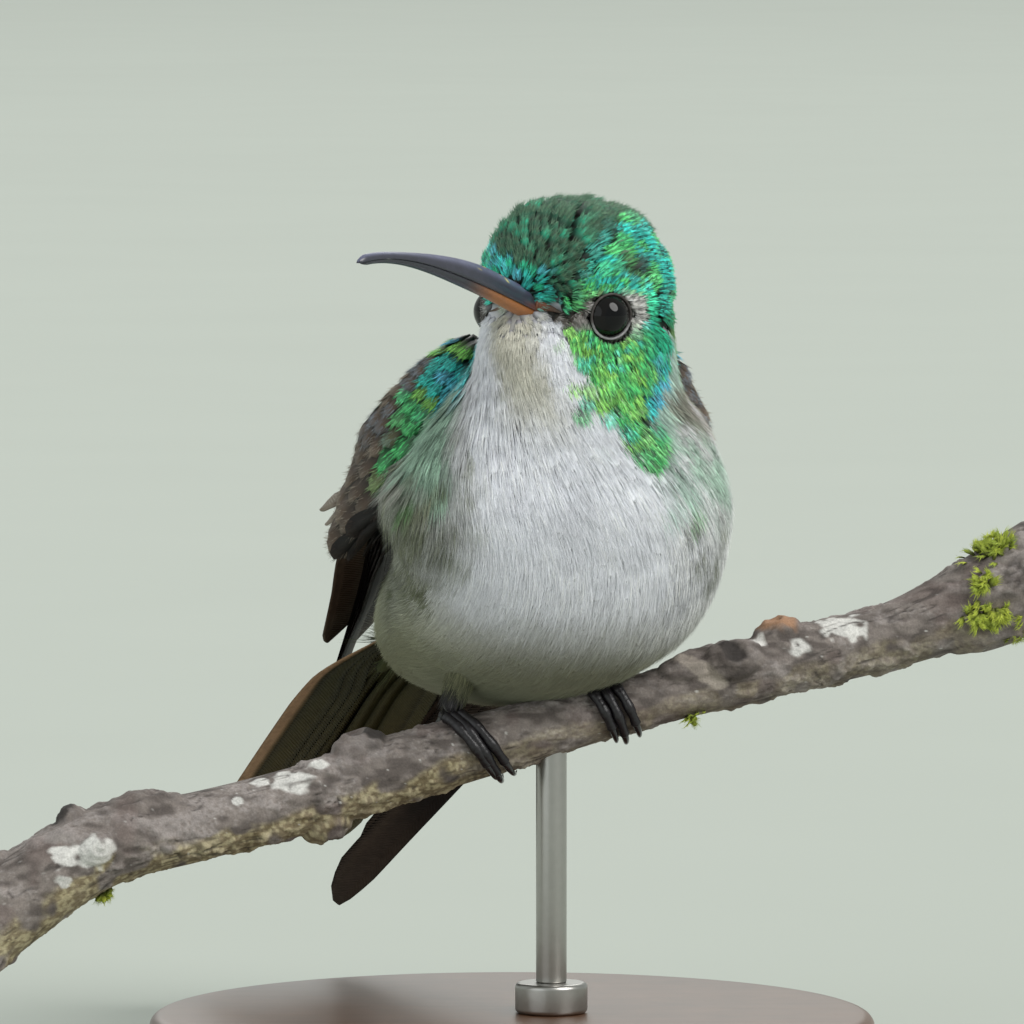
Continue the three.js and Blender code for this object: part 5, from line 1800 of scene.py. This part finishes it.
def patches(rows, ragged):
    """A mask of soft-edged patches, each given by place by x, angle round the twig and size."""
    mask = np.zeros_like(big)
    for x, angle, size in rows:
        share = share_at(x) * np.ones(1)
        middle = round_twig(share, np.array([angle]), twig_axes(share)[1])
        gap = np.linalg.norm((bare - middle) * [0.7, 1, 1], axis=-1) / size
        mask = np.maximum(mask, smooth((1.0 - gap + ragged * (noise(bare, 0.5, 44) - 0.5)) / 0.3))
    return mask


LICHEN_PATCHES = (
    (-15.7, 48, 1.2), (-17.6, 64, 0.6), (-30.2, 8, 1.2), (-31.8, 24, 0.8), (-32.4, -6, 0.5),
    (-19.6, 34, 0.35), (-13.4, 58, 0.5), (23.5, 52, 1.4), (20.4, 30, 0.7), (17.6, 64, 0.6),
)
# Three near-black patches in knot hollows are painted shade.
HOLLOW_SHADOWS = ((-30.4, 94, 0.9), (-9.2, 76, 0.7), (15.6, 44, 0.8))
SLIVER = [(12.1 + 0.24 * i, 74 - 8 * i, 0.55) for i in range(10)]  # a strip of peeled bark
pale = patches(LICHEN_PATCHES, 0.9) * (1 - crack)
tint = blend(tint, LICHEN * (0.8 + 0.3 * dust[..., None]), pale * 0.85)
for rows, ragged, ink, share in (
    (HOLLOW_SHADOWS, 0.6, BARK_DARK * 0.25, 0.85),
    (((19.6, 88, 1.2),), 0.4, BUD, 0.8),
    (((-36.0, 96, 1.5),), 0.5, STUB, 0.7),
    (SLIVER, 0.3, PEELED * (0.7 + 0.5 * small[..., None]), 0.75),
):
    tint = blend(tint, ink, patches(rows, ragged) * share)
bark_finish = finish("bark", roughness=0.88, size=1200, depth=0.35, bump=0.05, bump_size=3500)
perch = tube("twig_bark", bark, colour=tint)
dress(perch, "bark", bark_finish, "perch_branch")

# %% Moss
# Small tufts of leafy moss stand on the thick end of the twig. They are made as feathers are,
# with blunt leaves that stand off the bark.
MOSS = srgb(186, 196, 70)
MOSS_FRESH = srgb(150, 168, 60)
MOSS_DARK = srgb(92, 98, 36)
MOSS_BARBS = 14
# place by x, angle, spread in millimetres, number of leaves
MOSS_CLUMPS = (
    (35.3, 78, 0.5, 34), (35.9, 60, 0.45, 28), (33.8, 32, 0.3, 20), (32.5, -8, 0.4, 24),
    (33.7, -16, 0.35, 20), (35.5, -52, 0.55, 36), (36.1, -80, 0.6, 36), (34.6, -70, 0.3, 16),
    (-29.9, -96, 0.35, 22), (12.2, -62, 0.3, 10),
)


def twig_surface(t, phi):
    """The smooth round of the twig at a share and an angle in radians."""

    def at(t, phi):
        """The bark's mean round, a tenth of a millimetre further out."""
        share = np.clip(t, 0.01, 0.99)
        return round_twig(share, np.degrees(phi), twig_axes(share)[1] + 0.1)

    middle = twig_axes(t)[0]
    p, _, by_t, by_phi = surface_frame(at, t, phi, 1e-3, middle)
    return p, unit(p - middle), by_t, by_phi


grow_t, grow_phi = [], []
for x, angle, spread, leaves in MOSS_CLUMPS:
    off = draw.normal(0, 1.0, (leaves, 2)) * spread
    share = share_at(x + off[:, 0])
    grow_t.append(share)
    grow_phi.append(np.radians(angle) + off[:, 1] / twig_axes(share)[1])
grow_t, grow_phi = np.concatenate(grow_t), np.concatenate(grow_phi)
leaves = len(grow_t)
heading = unit(draw.normal(size=(leaves, 3)) + [0, 0, -0.4])
length = draw.uniform(0.5, 0.9, leaves)
sites = settle(twig_surface, grow_t, grow_phi, heading, length, 0.4 * length)
shade = draw.uniform(0, 1, (leaves, 1))
moss_tint = mix(MOSS, MOSS_FRESH, shade)
rows = np.ones((leaves, 1))
where = np.stack([grow_t, grow_phi / (2 * np.pi) % 1], -1)
tufts = coat(
    "moss_tufts", sites, length, 0.4 * length, rows * [0.5, 0.0, 0.5],
    (MOSS_DARK * rows, moss_tint * 0.7, moss_tint), np.zeros(leaves), np.full(leaves, 0.3),
    np.full(leaves, 0.1), where, MOSS_BARBS, MOSS_SEED,
    stand=draw.uniform(0.25, 0.8, (leaves, 1)),
)
dress(tufts, "bark", plumage)

# %% [markdown]
# ## Legs and feet
# The shanks are short and mostly hidden in down. Three toes close over the front of the twig and
# one over the back, each a black rod ringed with scutes and swollen at its joints, with a curved
# claw that digs into the bark.

# %% Feet
FEET = {
    "right": {"x": -3.9, "lean": 2.4, "ankle": np.array([-3.5, -0.6, 28.6])},
    "left": {"x": 6.3, "lean": 0.8, "ankle": np.array([6.2, 2.0, 30.6])},
}
TOES = {"inner": (-1, 74, -26), "middle": (0, 74, -46), "outer": (1, 74, -30), "hind": (0, 112, 205)}
TOE_PITCH, TOE_THICK, TOE_GAP = 0.74, (0.41, 0.35), 0.06
CLAW_SWEEP, CLAW_SKIP, CLAW_THICK = 48, 6, 0.29
TOE_RINGS, CLAW_RINGS, SHANK_RINGS = 90, 40, 60
foot_finish = finish(
    "foot_scutes", roughness=0.42, size=1500, depth=0.5, bump=0.03, bump_size=5000, Coat_Weight=0.1
)
claw_finish = finish("claw_horn", roughness=0.25, size=900, depth=0.2, Coat_Weight=0.4)
FOOT_BLACK = srgb(20, 16, 21)


def toe_line(foot, spread, start, end, angle, distance, hind):
    """A path round the bark that drifts along the twig as the foot leans."""
    run = (angle - start) / (end - start)
    fan = spread * TOE_PITCH * mix(0.9, 1.0, smooth(run * 2))
    drift = fan + foot["lean"] * run * (-0.4 if hind else 1)
    share = share_at(foot["x"]) + drift / TWIG_SPAN
    r = twig_axes(share)[1]
    return round_twig(share, angle, r + distance)


def rod(name, line, radius, outward_from, sides=20, colour=FOOT_BLACK, deep=1.0):
    """A closed rod along a line of points, deeper than wide where deep is over 1."""
    along = unit(np.gradient(line, axis=0))
    out = square_to(outward_from, along)
    side = np.cross(along, out)
    a = turns(sides)
    ring = side[:, None] * np.cos(a)[:, None] + out[:, None] * np.sin(a)[:, None] * deep
    rings = line[:, None] + ring * radius[:, None, None]
    return tube(name, rings, colour=colour * np.ones((len(line), sides, 3)))


# %% Toes, claws and shanks
for side, foot in FEET.items():
    for toe, (spread, start, end) in TOES.items():
        u = np.linspace(0, 1, TOE_RINGS)
        angle = mix(start, end, u)
        line = toe_line(foot, spread, start, end, angle, TOE_THICK[0] + TOE_GAP, toe == "hind")
        scutes = 0.05 * np.abs(np.sin(u * np.pi * 13)) ** 0.6
        joints = 0.09 * np.cos(u * 6 * np.pi)
        ends = np.sqrt(np.clip(np.minimum(u, 1 - u) * 22, 0.02, 1))
        radius = mix(*TOE_THICK, u) * (0.96 + scutes + joints) * ends
        from_core = unit(line - twig_axes(share_at(line[:, 0]))[0])
        piece = rod(f"toe_skin_{side}_{toe}", line, radius, from_core)
        dress(piece, "foot", foot_finish, f"toe_{side}_{toe}")
        turn = np.sign(end - start)
        v = np.linspace(0, 1, CLAW_RINGS)
        claw_angle = end + turn * (-CLAW_SKIP + (CLAW_SWEEP + CLAW_SKIP) * v)
        lift = CLAW_THICK * (1.3 - 1.1 * v + 0.9 * np.sin(np.pi * v)) + 0.08
        line = toe_line(foot, spread, start, end, claw_angle, lift, toe == "hind")
        radius = CLAW_THICK * mix(1.0, 0.12, v**1.3) * np.sqrt(np.clip(v * 20, 0.05, 1))
        from_core = unit(line - twig_axes(share_at(line[:, 0]))[0])
        piece = rod(f"claw_horn_{side}_{toe}", line, radius, from_core, 14, FOOT_BLACK * 0.7, 1.25)
        dress(piece, "claw", claw_finish, f"claw_{side}_{toe}")
    share = share_at(foot["x"]) * np.ones(1)
    pad = round_twig(share, np.array([82.0]), twig_axes(share)[1] + 0.6)[0]
    u = np.linspace(0, 1, SHANK_RINGS)
    line = blend(foot["ankle"], pad, u)
    ends = np.sqrt(np.clip(np.minimum(u, (1 - u) * 0.35) * 16, 0.02, 1))
    radius = (0.58 + 0.22 * onset(u, 0.6, 0.4) + 0.03 * np.abs(np.sin(u * np.pi * 8))) * ends
    shank = rod(f"shank_{side}", line, radius, np.ones((SHANK_RINGS, 1)) * [0.2, -1.0, 0.3])
    dress(shank, "foot", foot_finish, f"leg_{side}")
    foot["pad"] = pad

# %% Leg tufts
# Dark feathers hang round each shank down to the toes.
LEG_ROWS, LEG_ROUND, LEG_BARBS = 6, 13, 46
TUFT_GREY = srgb(92, 88, 92)


def leg_sleeve(foot):
    """A surface function of share and angle: a cone round the shank, wide at the belly."""
    run = foot["pad"] - foot["ankle"]
    way = unit(run)
    a = unit(np.cross(way, [1.0, 0.3, 0.0]))
    b = np.cross(way, a)

    def middle(t):
        """A place on the cone's axis, which starts a little above the ankle."""
        return foot["ankle"] - way * 0.8 + run * t[..., None]

    def at(t, phi):
        """The axis plus cosine and sine across it, times a radius that shrinks with t."""
        c, sn = np.cos(phi)[..., None], np.sin(phi)[..., None]
        return middle(t) + (a * c + b * sn) * (1.15 - 0.6 * t)[..., None]

    return lambda t, phi: surface_frame(at, t, phi, 0.02, middle(t))


for number, (side, foot) in enumerate(FEET.items()):
    surface = leg_sleeve(foot)
    i, j = (a.ravel() for a in np.meshgrid(np.arange(LEG_ROWS), np.arange(LEG_ROUND), indexing="ij"))
    t = i / LEG_ROWS * 0.62 + draw.uniform(-0.04, 0.04, len(i))
    phi = (j + 0.5 * (i % 2) + draw.uniform(-0.3, 0.3, len(i))) * 2 * np.pi / LEG_ROUND
    length, width = mix(2.4, 1.5, t) * draw.uniform(0.8, 1.2, len(t)), np.full(len(t), 0.5)
    sites = settle(surface, t, phi, surface(t, phi)[2], length, width)
    rows = np.ones((len(t), 1))
    pale = draw.uniform(0, 1, (len(t), 1)) ** 3
    # The top tufts take the belly's painted shade colour, so they run on from the shaded belly.
    belly = fade(t, 0.42, 0.25)[:, None]
    ink = mix(mix(DARK, TUFT_GREY, pale), BELLY_PAINTED_SHADE, belly)
    where = np.stack([phi / (2 * np.pi) % 1, t], -1)
    piece = coat(
        f"leg_tufts_{side}", sites, length, width, rows * [0.0, 0.0, 1.0],
        (DARK * rows, ink * 0.6, ink), 0 * t,
        np.full(len(t), 0.5), np.full(len(t), 0.15), where, LEG_BARBS, LEG_SEED + number,
        stand=draw.uniform(0.0, 0.3, (len(t), 1)),
    )
    dress(piece, "foot", plumage)

# %% [markdown]
# ## Stand
# A museum stand is quiet: a turned wooden disc with rounded edges, a steel collar, and a steel
# rod up into the twig. Each is a profile of radius and height carried round its axis.

# %% Stand
ROD_SHARE = 0.6
BASE_RADIUS, BASE_TOP = 26.0, 4.0
COLLAR_RADIUS, COLLAR_TOP, ROD_RADIUS = 2.6, 6.2, 1.1
rod_foot = twig_axes(np.array([ROD_SHARE]))[0][0]


def turned_piece(name, profile, middle, sides):
    """A profile of (radius, height) points carried round an upright axis."""
    profile = np.array(profile, float)
    a = np.arange(sides) * 2 * np.pi / sides
    round_way = np.stack([np.cos(a), np.sin(a), 0 * a], -1)
    rings = np.append(middle, 0) + profile[:, None, :1] * round_way + profile[:, None, 1:] * UP
    return tube(name, rings, colour=np.ones((len(profile), sides, 3)))


def rounded(radius, low, high, ease):
    """The outline of a disc with rounded rims, from its underside to its top."""
    a = np.linspace(0, np.pi / 2, 8)
    below = np.stack([radius - ease + ease * np.sin(a), low + ease - ease * np.cos(a)], -1)
    above = np.stack([radius - ease + ease * np.cos(a), high - ease + ease * np.sin(a)], -1)
    inner = np.linspace(0.1, 0.98, 5)[:, None] * [radius - ease, 0]
    return np.concatenate([inner + [0, low], below, above, inner[::-1] + [0, high]])


wood = finish(
    "turned_walnut", roughness=0.38, size=60, depth=0.35, bump=0.03, bump_size=350, stretch=0.08,
    tint=srgb(92, 62, 42), Coat_Weight=0.35, Coat_Roughness=0.25,
)
steel = finish(
    "brushed_steel", roughness=0.32, metallic=1.0, size=300, depth=0.06, bump=0.01,
    bump_size=1500, tint=srgb(176, 174, 170),
)
base = turned_piece("base_disc", rounded(BASE_RADIUS, 0.0, BASE_TOP, 0.9), np.zeros(2), 128)
dress(base, "stand_wood", wood, "stand_base")
outline = rounded(COLLAR_RADIUS, BASE_TOP, COLLAR_TOP, 0.35)
collar = turned_piece("rod_collar", outline, rod_foot[:2], 64)
dress(collar, "stand_steel", steel, "stand_collar")
outline = rounded(ROD_RADIUS, COLLAR_TOP, rod_foot[2] - 1.4, 0.12)
rod_piece = turned_piece("rod_round", outline, rod_foot[:2], 48)
dress(rod_piece, "stand_steel", steel, "stand_rod")

# %% [markdown]
# ## Stage, light and camera
# The floor is one very large pale disc, so it fills the view at this low angle from every side.
# The light is as broad as a cloudy sky: a soft key high in front and to the right, a weak fill,
# and a weak one from behind that draws the rim of the head. The camera looks slightly down from
# far away, as a long lens does.

# %% Floor
FLOOR_RADII = (10.0, 400.0, 8000.0)
floor_outline = [(r, -0.02) for r in FLOOR_RADII] + [(r, -20.02) for r in FLOOR_RADII[::-1]]
floor = turned_piece("floor", floor_outline, np.zeros(2), 96)
FLOOR_TINT = srgb(182, 188, 180)
floor_finish = finish("floor_paper", roughness=0.9, size=3, depth=0.02, tint=FLOOR_TINT)
floor.data.materials.append(floor_finish)

# %% Room light and lamps
world = bpy.data.worlds.new("soft_room")
bpy.context.scene.world = world
world.use_nodes = True
background = world.node_tree.nodes["Background"]
background.inputs["Color"].default_value = (*srgb(206, 212, 208), 1)
background.inputs["Strength"].default_value = 0.7


def sun(name, way, spread, power, colour=(1, 1, 1)):
    """A distant soft lamp that shines from a direction, spread over an angle in degrees."""
    light = bpy.data.lights.new(name, "SUN")
    light.angle = float(np.radians(spread))
    light.energy = power
    light.color = colour
    holder = bpy.data.objects.new(name, light)
    bpy.context.scene.collection.objects.link(holder)
    holder.location = np.array(way) * 0.5
    holder.rotation_euler = aim_angles(np.array(way))


def aim_angles(way):
    """The turns about X and Z that point an object's back along a direction."""
    level = float(np.hypot(way[0], way[1]))
    return (float(np.arctan2(level, way[2])), 0.0, float(np.arctan2(way[0], -way[1])))


sun("key_sun", (0.62, -0.50, 0.72), 38, 2.35, (1.0, 0.99, 0.97))
sun("fill_sun", (-0.75, -0.62, 0.25), 60, 0.55, (0.93, 0.97, 1.0))
sun("rim_sun", (-0.10, 0.80, 0.60), 40, 0.8, (1.0, 1.0, 0.97))

# %% Camera
DISTANCE, ELEVATION, LENS = 0.700, 4.0, 344.5
TARGET = np.array([0.0, 0.0, 40.0]) * MM
lens = bpy.data.cameras.new("camera")
lens.sensor_width = 36.0
lens.lens = LENS
lens.clip_start, lens.clip_end = 0.01, 50.0
camera = bpy.data.objects.new("camera", lens)
bpy.context.scene.collection.objects.link(camera)
tilt = np.radians(ELEVATION)
way = np.array([0.0, -np.cos(tilt), np.sin(tilt)])
camera.location = TARGET + way * DISTANCE
camera.rotation_euler = (np.pi / 2 - tilt, 0.0, 0.0)
bpy.context.scene.camera = camera
bpy.context.scene.view_settings.view_transform = "Standard"

# %% Sizes
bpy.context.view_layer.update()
total = sum(len(p.vertices) - 2 for o in bpy.data.objects if o.type == "MESH" for p in o.data.polygons)
print("triangles in all meshes:", total)
